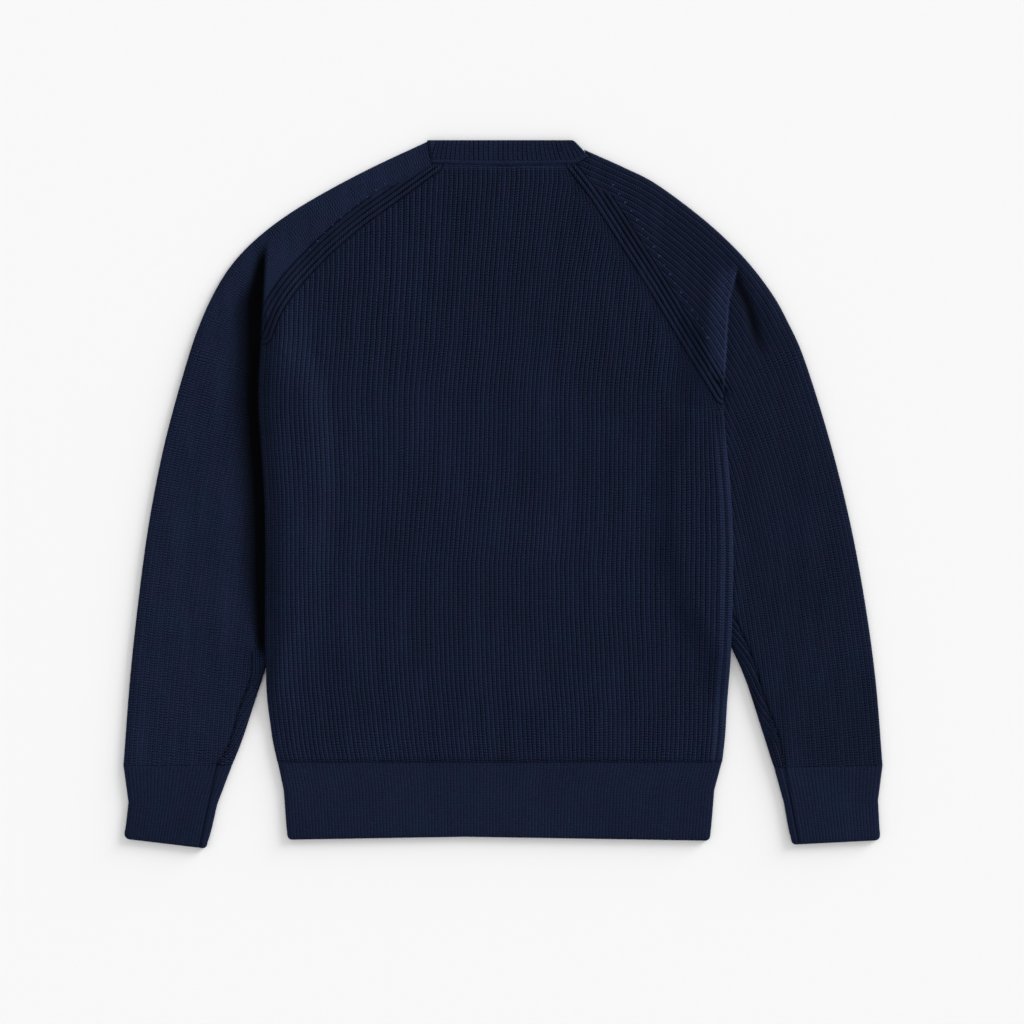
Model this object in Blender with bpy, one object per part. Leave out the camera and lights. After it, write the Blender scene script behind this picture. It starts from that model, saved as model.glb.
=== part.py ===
"""Crewneck sweater in a chunky rib knit with raglan sleeves, lying flat with its back up.

Tables and sizes are in millimetres, and the finished meshes are in metres. X runs across the
garment, Y towards the neck and Z up. The origin is on the surface under the garment's middle.
"""
import bmesh
import bpy
import numpy as np

MM = 0.001
TINY = 1e-12

# Thickness of the cloth and of the layers that lie on each other
WALL = 2.6
GAP = 0.4
SEAM_GAP = 0.4
SLEEVE_SEAM_SHIFT = 0.6
RIB_RELIEF = 0.5
LOWER_TOP = WALL
UPPER_BOTTOM = LOWER_TOP + GAP
UPPER_TOP = UPPER_BOTTOM + WALL
EDGE_LIP = 0.3
TOP_EDGE_ROUND = 7.0
FLOOR_EDGE_ROUND = 3.0

# Body: the panels rise over the sleeves that pass under their sides
LIFT = 6.8
LIFT_RAMP = 34.0
LIFT_MARGIN = 9.0
CAP_LIP_WIDTH = 16.0
LIFT_FALL = 46.0
LIFT_FALL_BELOW = 18.0
BODY_RIBS = 101
HEM_LINE = -267.5
SIDES = [
    # y, left x, right x
    (159.5, -240.0, 222.5),
    (99.5, -243.0, 220.0),
    (51.5, -240.5, 223.0),
    (-3.5, -237.0, 228.0),
    (-63.5, -236.0, 230.0),
    (-149.5, -236.5, 228.0),
    (-197.5, -236.0, 225.0),
    (-240.5, -231.5, 222.5),
    (-267.5, -226.0, 219.5),
]

# Neckline of the two panels
NECK_SEAM = 331.0
NECK_SAG = 2.0
FRONT_NECK_DROP = 62.0
FRONT_NECK_POWER = 2.5
BODY_STEPS = 7
LOWEST_TOP = 60.0
HALVINGS = 40

# Rows and rib lines that the plain faces of the panels use, close together near the sides
COARSE_ROWS = [0, 4, 5, 6, 7, 8, 9, 10, 11]
SIDE_COLUMNS = [0, 1, 3, 6, 10, 14, 18, 22, 26, 30, 36]
MIDDLE_COLUMN = 46
MIDDLE_COLUMN_STEP = 6

# The rib lines draw together a little towards the neck
NECK_LEAN = 0.05
LEAN_START = 190.0

# Raglan seams, from the neck to the underarm
RAGLAN = {
    "left": [(-70.0, 331.0), (-110.0, 302.0), (-148.0, 274.5), (-182.0, 245.0), (-210.0, 214.5),
             (-229.0, 186.5), (-240.0, 159.5)],
    "right": [(73.0, 331.0), (97.0, 299.0), (127.0, 252.5), (157.0, 205.0), (190.0, 150.0),
              (220.0, 99.5)],
}
BAND_OFFSETS = np.array([0.0, 2.4, 4.7, 7.1, 10.0])
BAND_RELIEF = np.array([-1.0, 1.0, -1.0, 1.0, -1.0])
LONGEST_STRETCH = 2.6
# Slopes of the outline from which the lines beside the raglan seam begin and stand full
RAGLAN_SLOPE_START = 0.1
RAGLAN_SLOPE_FULL = 0.5

# Fold where the cap of each sleeve drops to the sleeve, from past the shoulder edge downwards
CAP_FOLD = {
    "left": [(-221.0, 292.0), (-231.0, 256.0), (-235.5, 248.0), (-238.0, 201.5), (-240.0, 159.5)],
    "right": [(238.0, 262.0), (233.0, 226.0), (230.0, 212.0), (225.0, 190.0), (222.0, 140.0),
              (220.0, 99.5)],
}
FOLD_TIP = {"left": 258.0, "right": 230.0}
FOLD_RISE = {"left": 52.0, "right": 66.0}
UNDERARM = {"left": 159.5, "right": 99.5}
SLEEVE_LEAVES = {"left": -172.0, "right": -151.0}
CAP_FADE_START = 3.0
CAP_FADE_LENGTH = 12.0
CAP_DROP_WIDTH = 2.4
BAND_FADE_COLUMNS = 5

# Shoulder and outer edge of each sleeve, from the neck to the cuff
OUTER_EDGE = {
    "left": [(-77.5, 352.5), (-129.0, 328.5), (-175.0, 304.5), (-215.0, 280.5), (-247.0, 256.0),
             (-270.0, 232.0), (-286.5, 207.0), (-302.0, 174.5), (-316.0, 134.5), (-338.0, 54.5),
             (-354.0, -25.5), (-365.0, -105.5), (-373.5, -185.5), (-380.0, -271.0)],
    "right": [(94.0, 339.6), (122.0, 327.0), (154.0, 310.5), (202.0, 274.5), (240.0, 238.5),
              (268.0, 203.0), (285.0, 173.0), (302.0, 134.5), (327.0, 54.5), (347.0, -25.5),
              (362.0, -105.5), (373.0, -185.5), (380.0, -271.0)],
}
# Inner edge of each sleeve, from the underarm, hidden under the body at first, to the cuff
INNER_EDGE = {
    "left": [(-240.0, 159.5), (-219.0, 122.5), (-206.0, 74.5), (-203.0, 14.5), (-207.0, -45.5),
             (-217.0, -105.5), (-237.0, -172.5), (-248.0, -205.5), (-261.0, -245.5),
             (-271.0, -270.5)],
    "right": [(220.0, 99.5), (200.0, 64.5), (190.0, 14.5), (191.0, -45.5), (203.0, -100.5),
              (228.0, -151.5), (243.0, -185.5), (256.0, -225.5), (271.0, -272.5)],
}
NECK_END = {"left": [(-79.5, 356.0), (-78.2, 352.0), (-73.6, 331.2)],
            "right": [(98.0, 345.5), (93.2, 339.6), (89.5, 335.2), (79.0, 330.9)]}
SLEEVE_PITCH = 4.65
# The ribs stand further apart on the cap than on the sleeve below the underarm
CAP_SPREAD = {"left": 1.0, "right": 1.19}
CAP_SPREAD_TOP = 210.0
CAP_SPREAD_END = 40.0
SHORTEST_COLUMN = 26.0
LINE_RUN_ON = 8.0
CORNER_RUN_ON = 0.04
NORMAL_SMOOTHING = 9
FOLD_CLEAR = 12.0
FOLD_ROOM = 1.0
BAND_ROOM = 1.35
CAP_STATIONS = np.array([0.34, 0.67])
LIP_STATIONS = np.array([-4.0, -0.6, 2.0])
MIDDLE_STATIONS = np.array([0.08, 0.18, 0.33, 0.55, 0.8])
END_STATIONS = np.array([4.0, 1.0, 0.0])
PLAIN_ROWS = [0, 5, 8, 10, 12, 14, 17]
PLAIN_START_SHARE = 0.3

# Fine rib bands
HEM_RIBS = 132
HEM_MIDDLE = 0.42
HEM_PLAIN = np.array([0.0, 0.004, 0.01, 0.2, HEM_MIDDLE, 0.7, 0.99, 0.996, 1.0])
HEM_SECTIONS = [
    # y at the left, middle and right, left x, right x
    (-267.9, -267.9, -267.9, -225.6, 219.1),
    (-296.0, -295.0, -296.0, -219.5, 211.5),
    (-345.5, -342.5, -346.5, -216.0, 207.5),
]
CUFF_RIBS = 28
# Places across a cuff, 0 at its inner edge, of the points of its underside and of its inside
CUFF_UNDER = np.array([0.985, 0.96, 0.6, 0.3, 0.04, 0.015])
CUFF_HOLLOW = np.array([0.04, 0.3, 0.6, 0.96])
CUFF_SECTIONS = {
    # outer x, outer y, inner x, inner y
    "left": [(-380.0, -271.4, -271.1, -271.0), (-375.0, -308.0, -286.0, -310.0),
             (-379.0, -344.5, -296.0, -354.5)],
    "right": [(380.0, -271.4, 271.2, -273.0), (375.5, -306.0, 281.0, -308.0),
              (377.5, -346.0, 288.5, -350.5)],
}
FINE_RELIEF = 0.4

# Neckband: a flattened ring, its back strip above and its front strip on the surface
BAND_RIBS = 29
BAND_HALF_WALL = 1.35
BAND_FOLD_RADIUS = 1.75
BAND_MIDDLE = BAND_HALF_WALL + BAND_FOLD_RADIUS
BAND_FREE_EDGE = [(-73.5, 354.5), (68.0, 354.5)]
BAND_SEAM_EDGE = [(-69.2, 332.0), (74.0, 332.2), (84.5, 337.6)]
BAND_FRONT_STEPS = 24
BAND_TURN_STEPS = 3
BAND_WIDTH = 21.5
FRONT_NECK_GAP = 1.0
BAND_END_BLEND = 2.4

NAVY = (0.010, 0.020, 0.055, 1.0)
NAVY_FINE = (0.012, 0.023, 0.060, 1.0)
KNIT_ROUGHNESS = 0.9
FINE_ROUGHNESS = 0.88


def smoothstep(value):
    """Ease from 0 to 1 as the value goes from 0 to 1."""
    share = np.clip(value, 0.0, 1.0)
    return share * share * (3.0 - 2.0 * share)


def rounding(distance, radius):
    """Height share of a rounded edge, 0 at the edge and 1 from the radius on."""
    share = np.clip(distance / radius, 0.0, 1.0)
    return np.sqrt(1.0 - (1.0 - share) ** 2)


def smooth_path(knots, step=3.0):
    """Points about one step apart on a Catmull-Rom curve through the knots."""
    points = np.asarray(knots, dtype=float)
    padded = np.vstack([2 * points[0] - points[1], points, 2 * points[-1] - points[-2]])
    path = [points[0]]
    for index in range(len(points) - 1):
        before, start, end, after = padded[index:index + 4]
        count = max(2, int(np.linalg.norm(end - start) / step))
        for t in np.arange(1, count + 1) / count:
            bend = 2 * before - 5 * start + 4 * end - after
            twist = 3 * start - before - 3 * end + after
            path.append(0.5 * (2 * start + (end - before) * t + bend * t ** 2 + twist * t ** 3))
    return np.array(path)


def path_directions(path):
    """Unit direction at each point of a path."""
    steps = np.gradient(path, axis=0)
    return steps / np.linalg.norm(steps, axis=1)[:, None]


def shift_path(path, distance):
    """The path moved sideways, to the left of its direction for a positive distance."""
    along = path_directions(path)
    return path + distance * np.column_stack([-along[:, 1], along[:, 0]])


def x_at(path, y):
    """X of a path that runs along Y, at the height y."""
    order = np.argsort(path[:, 1])
    return np.interp(y, path[order, 1], path[order, 0])


def distance_to(path, points):
    """Distance in plan from each point to a path."""
    start = path[:-1]
    step = path[1:] - start
    reach = points[:, None, :] - start[None, :, :]
    share = np.clip((reach * step).sum(axis=2) / (step * step).sum(axis=1), 0.0, 1.0)
    gaps = reach - share[:, :, None] * step
    return np.linalg.norm(gaps, axis=2).min(axis=1)


def first_crossing(path, other):
    """Station on the first path, counted in its points, where it first meets the other."""
    a = path[:-1, None, :]
    u = path[1:, None, :] - a
    b = other[None, :-1, :]
    w = other[None, 1:, :] - b
    cross = u[..., 0] * w[..., 1] - u[..., 1] * w[..., 0]
    cross = np.where(np.abs(cross) < TINY, np.inf, cross)
    reach = b - a
    on_path = (reach[..., 0] * w[..., 1] - reach[..., 1] * w[..., 0]) / cross
    on_other = (reach[..., 0] * u[..., 1] - reach[..., 1] * u[..., 0]) / cross
    hit = (on_path >= 0) & (on_path <= 1) & (on_other >= 0) & (on_other <= 1)
    stations = np.where(hit, np.arange(len(path) - 1)[:, None] + on_path, np.inf)
    return stations.min()


class Wall:
    """The points and faces of one closed wall of cloth."""

    def __init__(self):
        self.points = []
        self.faces = []

    def grid(self, points):
        """Add a grid of points and return their numbers in the same layout."""
        rows, columns = points.shape[:2]
        first = len(self.points)
        self.points.extend(points.reshape(-1, 3))
        return np.arange(first, first + rows * columns).reshape(rows, columns)

    def skin(self, numbers, closed=False):
        """Cover a grid with triangles, round to its first column when it is closed."""
        rows, columns = numbers.shape
        for row in range(rows - 1):
            for column in range(columns if closed else columns - 1):
                a, b = numbers[row, column], numbers[row, (column + 1) % columns]
                c, d = numbers[row + 1, (column + 1) % columns], numbers[row + 1, column]
                self.faces.append((a, b, c))
                self.faces.append((a, c, d))

    def stitch(self, first, second):
        """Join two rows of points, which may differ in number, with a strip of triangles."""
        share_a = self.shares(first)
        share_b = self.shares(second)
        i = j = 0
        while i < len(first) - 1 or j < len(second) - 1:
            step_first = j == len(second) - 1
            if i < len(first) - 1 and j < len(second) - 1:
                step_first = share_a[i] + share_a[i + 1] <= share_b[j] + share_b[j + 1]
            if step_first:
                self.faces.append((first[i], first[i + 1], second[j]))
                i += 1
            else:
                self.faces.append((first[i], second[j + 1], second[j]))
                j += 1

    def shares(self, numbers):
        """How far along a row each of its points lies, from 0 to 1."""
        points = np.array([self.points[number] for number in numbers])
        lengths = np.concatenate([[0.0], np.linalg.norm(np.diff(points, axis=0), axis=1).cumsum()])
        return lengths / lengths[-1]

    def build(self, name, colour, roughness):
        """Make the named object, with its faces pointing out."""
        mesh = bpy.data.meshes.new(name)
        mesh.from_pydata([tuple(point * MM) for point in self.points], [], self.faces)
        shape = bmesh.new()
        shape.from_mesh(mesh)
        bmesh.ops.recalc_face_normals(shape, faces=shape.faces)
        shape.to_mesh(mesh)
        shape.free()
        mesh.materials.append(knit_material(name + "_knit", colour, roughness))
        mesh.shade_smooth()
        piece = bpy.data.objects.new(name, mesh)
        bpy.context.scene.collection.objects.link(piece)
        return piece


def knit_material(name, colour, roughness):
    """A matt woollen finish."""
    material = bpy.data.materials.new(name)
    material.use_nodes = True
    shader = material.node_tree.nodes["Principled BSDF"]
    shader.inputs["Base Color"].default_value = colour
    shader.inputs["Roughness"].default_value = roughness
    shader.inputs["Metallic"].default_value = 0.0
    return material


LEFT_SIDE = smooth_path([(left, y) for y, left, right in SIDES])
RIGHT_SIDE = smooth_path([(right, y) for y, left, right in SIDES])
SIDE = {"left": LEFT_SIDE, "right": RIGHT_SIDE}
SEAM = {side: smooth_path(RAGLAN[side]) for side in RAGLAN}
INNER = {side: smooth_path(INNER_EDGE[side]) for side in INNER_EDGE}
INWARD = {"left": 1.0, "right": -1.0}


def fold_path(side):
    """The fold of the cap and below it the side edge of the body, as one line."""
    below = [point for point in SIDE[side] if point[1] < UNDERARM[side] - 1.0]
    return np.vstack([smooth_path(CAP_FOLD[side]), below])


FOLD = {side: fold_path(side) for side in SIDE}


def lift(side, x, y):
    """Height that the sleeve under one side of the body adds to the layers above it."""
    inside = (x - x_at(FOLD[side], y)) * INWARD[side]
    overlap = (x_at(INNER[side], y) - x_at(SIDE[side], y)) * INWARD[side] + LIFT_MARGIN
    width = np.where(y < UNDERARM[side], np.maximum(overlap, 0.0), 0.0)
    width = np.maximum(width, CAP_LIP_WIDTH * smoothstep((y - SLEEVE_LEAVES[side]) / LIFT_FALL))
    across = 1.0 - smoothstep((inside - width) / LIFT_RAMP)
    rise = smoothstep((FOLD_TIP[side] - y) / FOLD_RISE[side])
    fall = smoothstep((y - SLEEVE_LEAVES[side] + LIFT_FALL + LIFT_FALL_BELOW) / LIFT_FALL)
    return LIFT * across * rise * fall


def body_x(share, y):
    """X of the rib line that lies at a share of the body's width, 0 at the left side."""
    left = x_at(LEFT_SIDE, y)
    right = x_at(RIGHT_SIDE, y)
    lean = 1.0 - NECK_LEAN * smoothstep((y - LEAN_START) / (NECK_SEAM - LEAN_START))
    return (left + share * (right - left)) * lean


def back_outline(x):
    """Top of the back panel: raglan, neckline, raglan."""
    left = SEAM["left"][::-1]
    right = SEAM["right"]
    middle = 0.5 * (left[-1, 0] + right[0, 0])
    neck = np.array([[middle, NECK_SEAM - NECK_SAG]])
    outline = np.vstack([left, neck, right])
    return np.interp(x, outline[:, 0], outline[:, 1])


def front_neck_drop(x):
    """How far the front neckline lies below the back one, at an x."""
    left = RAGLAN["left"][0][0]
    right = RAGLAN["right"][0][0]
    share = np.abs((x - 0.5 * (left + right)) / (0.5 * (right - left)))
    return FRONT_NECK_DROP * np.clip(1.0 - share ** FRONT_NECK_POWER, 0.0, 1.0)


def front_outline(x):
    """Top of the front panel, with its lower neckline."""
    return back_outline(x) - front_neck_drop(x)


def column_top(share, outline):
    """Highest y of each rib line, where it meets the outline."""
    low = np.full_like(share, LOWEST_TOP)
    high = np.full_like(share, NECK_SEAM)
    for _ in range(HALVINGS):
        middle = 0.5 * (low + high)
        below = outline(body_x(share, middle)) > middle
        low = np.where(below, middle, low)
        high = np.where(below, high, middle)
    return low


def body_plan(share, outline):
    """Plan of a panel: rows of points from its top outline to the hem line, and each slope."""
    top = column_top(share, outline)
    x_top = body_x(share, top)
    slope = (outline(x_top + 1.0) - outline(x_top - 1.0)) / 2.0
    stretch = np.minimum(np.sqrt(1.0 + slope ** 2), LONGEST_STRETCH)
    y_rows = [top - (SEAM_GAP / 2 + offset) * stretch for offset in BAND_OFFSETS]
    bottom = HEM_LINE + SEAM_GAP / 2
    under_band = y_rows[-1]
    for step in range(1, BODY_STEPS + 1):
        y_rows.append(under_band + (bottom - under_band) * step / BODY_STEPS)
    y = np.array(y_rows)
    x = body_x(share[None, :], y)
    return x, y, slope


def coarse_columns(count):
    """Numbers of the rib lines that the plain faces of a panel use."""
    far = [count - 1 - number for number in SIDE_COLUMNS]
    middle = list(range(MIDDLE_COLUMN, count - MIDDLE_COLUMN, MIDDLE_COLUMN_STEP))
    return sorted(SIDE_COLUMNS + middle + far)


def side_distance(x, y):
    """Distance to the nearer side edge of the body."""
    return np.minimum(x - x_at(LEFT_SIDE, y), x_at(RIGHT_SIDE, y) - x)


def body_lift(x, y):
    """Lift over both sleeves."""
    return lift("left", x, y) + lift("right", x, y)


def stack(x, y, z):
    """Grid of points from three grids of numbers."""
    return np.stack([x, y, z + 0.0 * x], axis=2)


def close_wall(wall, outer, inner):
    """Cover two grids that lie on each other and join them round their rims."""
    wall.skin(outer)
    wall.skin(inner)
    wall.stitch(outer[0], inner[0])
    wall.stitch(outer[-1], inner[-1])
    wall.stitch(outer[:, 0], inner[:, 0])
    wall.stitch(outer[:, -1], inner[:, -1])


def make_back_panel():
    """Upper panel: ribs and the raised lines beside the raglan seams over a plain inside."""
    share = np.linspace(0.0, 1.0, 2 * BODY_RIBS + 1)
    x, y, slope = body_plan(share, back_outline)
    parity = np.where(np.arange(len(share)) % 2 == 0, -1.0, 1.0)
    relief = np.tile(parity, (len(x), 1))
    on_raglan = (np.abs(slope) - RAGLAN_SLOPE_START) / (RAGLAN_SLOPE_FULL - RAGLAN_SLOPE_START)
    on_raglan = smoothstep(on_raglan)
    for row, height in enumerate(BAND_RELIEF):
        relief[row] = height * on_raglan + relief[row] * (1.0 - on_raglan)
    edge = rounding(side_distance(x, y), TOP_EDGE_ROUND)
    full = UPPER_TOP - UPPER_BOTTOM - EDGE_LIP + RIB_RELIEF * relief
    z = body_lift(x, y) + UPPER_BOTTOM + EDGE_LIP + full * edge
    wall = Wall()
    outer = wall.grid(stack(x, y, z))
    columns = coarse_columns(len(share))
    x, y = x[np.ix_(COARSE_ROWS, columns)], y[np.ix_(COARSE_ROWS, columns)]
    inner = wall.grid(stack(x, y, body_lift(x, y) + UPPER_BOTTOM))
    close_wall(wall, outer, inner)
    return wall.build("back_panel", NAVY, KNIT_ROUGHNESS)


def make_front_panel():
    """Lower panel: flat on the surface, raised only where the sleeves pass under its sides."""
    share = np.linspace(0.0, 1.0, 2 * BODY_RIBS + 1)[coarse_columns(2 * BODY_RIBS + 1)]
    x, y, _ = body_plan(share, front_outline)
    x, y = x[COARSE_ROWS], y[COARSE_ROWS]
    raised = body_lift(x, y)
    edge = rounding(side_distance(x, y), FLOOR_EDGE_ROUND)
    wall = Wall()
    outer = wall.grid(stack(x, y, raised + (LOWER_TOP - EDGE_LIP) * (1.0 - edge)))
    inner = wall.grid(stack(x, y, raised + LOWER_TOP))
    close_wall(wall, outer, inner)
    return wall.build("front_panel", NAVY, KNIT_ROUGHNESS)


class SleevePlan:
    """Rib lines of one sleeve, each a fixed depth inside its shoulder and outer edge."""

    def __init__(self, side):
        self.side = side
        self.edge = smooth_path(OUTER_EDGE[side])
        along = path_directions(self.edge)
        kernel = np.ones(NORMAL_SMOOTHING) / NORMAL_SMOOTHING
        padded = np.pad(along, ((NORMAL_SMOOTHING // 2,) * 2, (0, 0)), mode="edge")
        along = np.column_stack([np.convolve(padded[:, axis], kernel, "valid") for axis in (0, 1)])
        self.normal = INWARD[side] * np.column_stack([-along[:, 1], along[:, 0]])
        self.normal /= np.linalg.norm(self.normal, axis=1)[:, None]
        self.spacing = np.linalg.norm(np.diff(self.edge, axis=0), axis=1).mean()
        on_cap = smoothstep((self.edge[:, 1] - CAP_SPREAD_END) / (CAP_SPREAD_TOP - CAP_SPREAD_END))
        self.spread = 1.0 + (CAP_SPREAD[side] - 1.0) * on_cap
        seam = shift_path(SEAM[side], -INWARD[side] * SLEEVE_SEAM_SHIFT)
        inner = INNER[side]
        deepest = int(np.argmax(distance_to(self.edge, inner)))
        neck = np.array(NECK_END[side])
        self.start = np.vstack([neck, seam[1:], inner[1:deepest + 1]])
        self.half_pitch = self.fitted_half_pitch(np.array(RAGLAN[side][-1]))
        corner_out = self.edge[-1] + CORNER_RUN_ON * (self.edge[-1] - inner[-1])
        self.end = np.vstack([inner[deepest:], corner_out])
        self.columns = self.measure_columns()

    def depth(self, point):
        """Distance of a point from the outer edge."""
        return distance_to(self.edge, np.array([point]))[0]

    def fitted_half_pitch(self, underarm):
        """Half the rib pitch, fitted so that one rib line meets the underarm."""
        nearest = int(np.argmin(np.linalg.norm(self.edge - underarm, axis=1)))
        depth = self.depth(underarm) / self.spread[nearest]
        return depth / round(2.0 * depth / SLEEVE_PITCH)

    def line(self, depth):
        """The rib line at one depth, with its ends run on a little."""
        path = self.edge + depth * self.spread[:, None] * self.normal
        before = path[0] + LINE_RUN_ON * (path[0] - path[1])
        after = path[-1] + LINE_RUN_ON * (path[-1] - path[-2])
        return np.vstack([before, path, after])

    def measure_columns(self):
        """Depth and the start, fold and end stations of each rib line."""
        rows = []
        number = 0
        while True:
            depth = number * self.half_pitch
            path = self.line(depth)
            start = first_crossing(path, self.start)
            end = first_crossing(path, self.end)
            if not np.isfinite(start + end) or (end - start) * self.spacing < SHORTEST_COLUMN:
                break
            fold = first_crossing(path, FOLD[self.side])
            rows.append((depth, start, fold if np.isfinite(fold) else end, end))
            number += 1
        return np.array(rows)

    def stretches(self, stations):
        """How much longer a way along the ribs is than the way square to the piece's edge."""
        points = np.array([self.point(depth, at) for depth, at in zip(self.columns[:, 0], stations)])
        across = np.linalg.norm(np.gradient(points, axis=0), axis=1) / self.half_pitch
        return np.clip(across, 1.0, LONGEST_STRETCH)

    def point(self, depth, station):
        """Plan point on the rib line at one depth."""
        path = self.line(depth)
        index = np.arange(len(path))
        return np.array([np.interp(station, index, path[:, 0]), np.interp(station, index, path[:, 1])])

    def grid(self):
        """Plan points of the upper layer, a row for each station and a column for each rib line."""
        depth, start, fold, end = self.columns.T
        stretch_in = self.stretches(start) / self.spacing
        stretch_out = self.stretches(end) / self.spacing
        half = 0.5 * (start + end)
        nearest = start + FOLD_CLEAR / self.spacing
        fold = np.clip(fold, nearest, np.maximum(half, nearest + FOLD_ROOM / self.spacing))
        room = fold + LIP_STATIONS[0] / self.spacing - start
        squeeze = np.minimum(1.0, room / (BAND_ROOM * BAND_OFFSETS[-1] * stretch_in))
        band = [start + offset * stretch_in * squeeze for offset in BAND_OFFSETS]
        lip = [fold + offset / self.spacing for offset in LIP_STATIONS]
        finish = [end - offset * stretch_out for offset in END_STATIONS]
        cap = [band[-1] + share * (lip[0] - band[-1]) for share in CAP_STATIONS]
        middle = [lip[-1] + share * (finish[0] - lip[-1]) for share in MIDDLE_STATIONS]
        rows = band + cap + lip + middle + finish
        stations = np.array(rows)
        points = np.zeros(stations.shape + (2,))
        for column, at_depth in enumerate(depth):
            for row in range(len(stations)):
                points[row, column] = self.point(at_depth, stations[row, column])
        return points[..., 0], points[..., 1]


def sleeve_lift(side, x, y):
    """Height of the cap above the sleeve, which ends in a short drop at the fold."""
    inside = (x - x_at(FOLD[side], y)) * INWARD[side]
    drop = smoothstep(inside / CAP_DROP_WIDTH + 0.5)
    near_underarm = smoothstep((y - UNDERARM[side] - CAP_FADE_START) / CAP_FADE_LENGTH)
    return lift(side, x, y) * drop * near_underarm


def make_sleeve(side):
    """One sleeve: the ribbed upper layer, folded at its outer edge on to a plain lower layer."""
    plan = SleevePlan(side)
    x, y = plan.grid()
    depth = plan.columns[:, 0]
    count = len(depth)
    flat = np.column_stack([x.ravel(), y.ravel()])
    inner_distance = distance_to(INNER[side], flat).reshape(x.shape)
    edge_distance = np.minimum(np.tile(depth, (len(x), 1)), inner_distance)
    parity = np.where(np.arange(count) % 2 == 0, -1.0, 1.0)
    relief = np.tile(parity, (len(x), 1))
    underarm = int(np.argmax(y[0] < UNDERARM[side]))
    on_seam = 1.0 - smoothstep((np.arange(count) - underarm) / BAND_FADE_COLUMNS + 1.0)
    on_seam *= smoothstep((depth - plan.depth(RAGLAN[side][0])) / SLEEVE_PITCH)
    for row, height in enumerate(BAND_RELIEF):
        relief[row] = height * on_seam + relief[row] * (1.0 - on_seam)
    edge = rounding(edge_distance, TOP_EDGE_ROUND)
    height = UPPER_TOP - UPPER_BOTTOM - EDGE_LIP + RIB_RELIEF * relief + sleeve_lift(side, x, y)
    wall = Wall()
    upper = wall.grid(stack(x, y, UPPER_BOTTOM + EDGE_LIP + height * edge))
    columns = [1, *range(2, underarm - 2, 2), *range(underarm - 2, underarm + 2)]
    columns += [*range(underarm + 4, count - 2, 4), count - 1]
    cells = np.ix_(PLAIN_ROWS, columns)
    x[0] += PLAIN_START_SHARE * (x[1] - x[0])
    y[0] += PLAIN_START_SHARE * (y[1] - y[0])
    edge_plain = rounding(edge_distance[cells], FLOOR_EDGE_ROUND)
    under = wall.grid(stack(x[cells], y[cells], (LOWER_TOP - EDGE_LIP) * (1.0 - edge_plain)))
    cells = np.ix_(PLAIN_ROWS, columns[1:])
    roof = wall.grid(stack(x[cells], y[cells], UPPER_BOTTOM))
    ground = wall.grid(stack(x[cells], y[cells], LOWER_TOP))
    for numbers in (upper, under, roof, ground):
        wall.skin(numbers)
    wall.stitch(upper[:, 0], under[:, 0])
    wall.stitch(roof[:, 0], ground[:, 0])
    for row in (0, -1):
        wall.stitch(upper[row], roof[row])
        wall.stitch(under[row], ground[row])
        wall.faces.append((upper[row, 0], under[row, 0], roof[row, 0]))
        wall.faces.append((under[row, 0], ground[row, 0], roof[row, 0]))
    wall.stitch(upper[:, -1], roof[:, -1])
    wall.stitch(under[:, -1], ground[:, -1])
    return wall.build("sleeve_" + side, NAVY, KNIT_ROUGHNESS)


def hem_grid(share):
    """Plan of the hem band, with a slightly wavy lower edge."""
    rows = []
    for y_left, y_middle, y_right, left, right in HEM_SECTIONS:
        y = np.interp(share, [0.0, HEM_MIDDLE, 1.0], [y_left, y_middle, y_right])
        rows.append(np.column_stack([left + share * (right - left), y]))
    points = np.array(rows)
    return points[..., 0], points[..., 1]


def hem_distance(share):
    """Distance to the nearer end of the hem band."""
    width = HEM_SECTIONS[1][4] - HEM_SECTIONS[1][3]
    return np.minimum(share, 1.0 - share) * width


def make_hem_back():
    """Upper hem band with its fine ribs."""
    share = np.linspace(0.0, 1.0, 2 * HEM_RIBS + 1)
    x, y = hem_grid(share)
    relief = np.where(np.arange(len(share)) % 2 == 0, -1.0, 1.0)
    full = WALL - EDGE_LIP + FINE_RELIEF * relief
    z = UPPER_BOTTOM + EDGE_LIP + full * rounding(hem_distance(share), TOP_EDGE_ROUND)
    wall = Wall()
    outer = wall.grid(stack(x, y, z))
    x, y = hem_grid(HEM_PLAIN)
    inner = wall.grid(stack(x, y, UPPER_BOTTOM))
    close_wall(wall, outer, inner)
    return wall.build("hem_rib_back", NAVY_FINE, FINE_ROUGHNESS)


def make_hem_front():
    """Lower hem band, flat on the surface."""
    x, y = hem_grid(HEM_PLAIN)
    edge = rounding(hem_distance(HEM_PLAIN), FLOOR_EDGE_ROUND)
    wall = Wall()
    outer = wall.grid(stack(x, y, (LOWER_TOP - EDGE_LIP) * (1.0 - edge)))
    inner = wall.grid(stack(x, y, LOWER_TOP))
    close_wall(wall, outer, inner)
    return wall.build("hem_rib_front", NAVY_FINE, FINE_ROUGHNESS)


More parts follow.
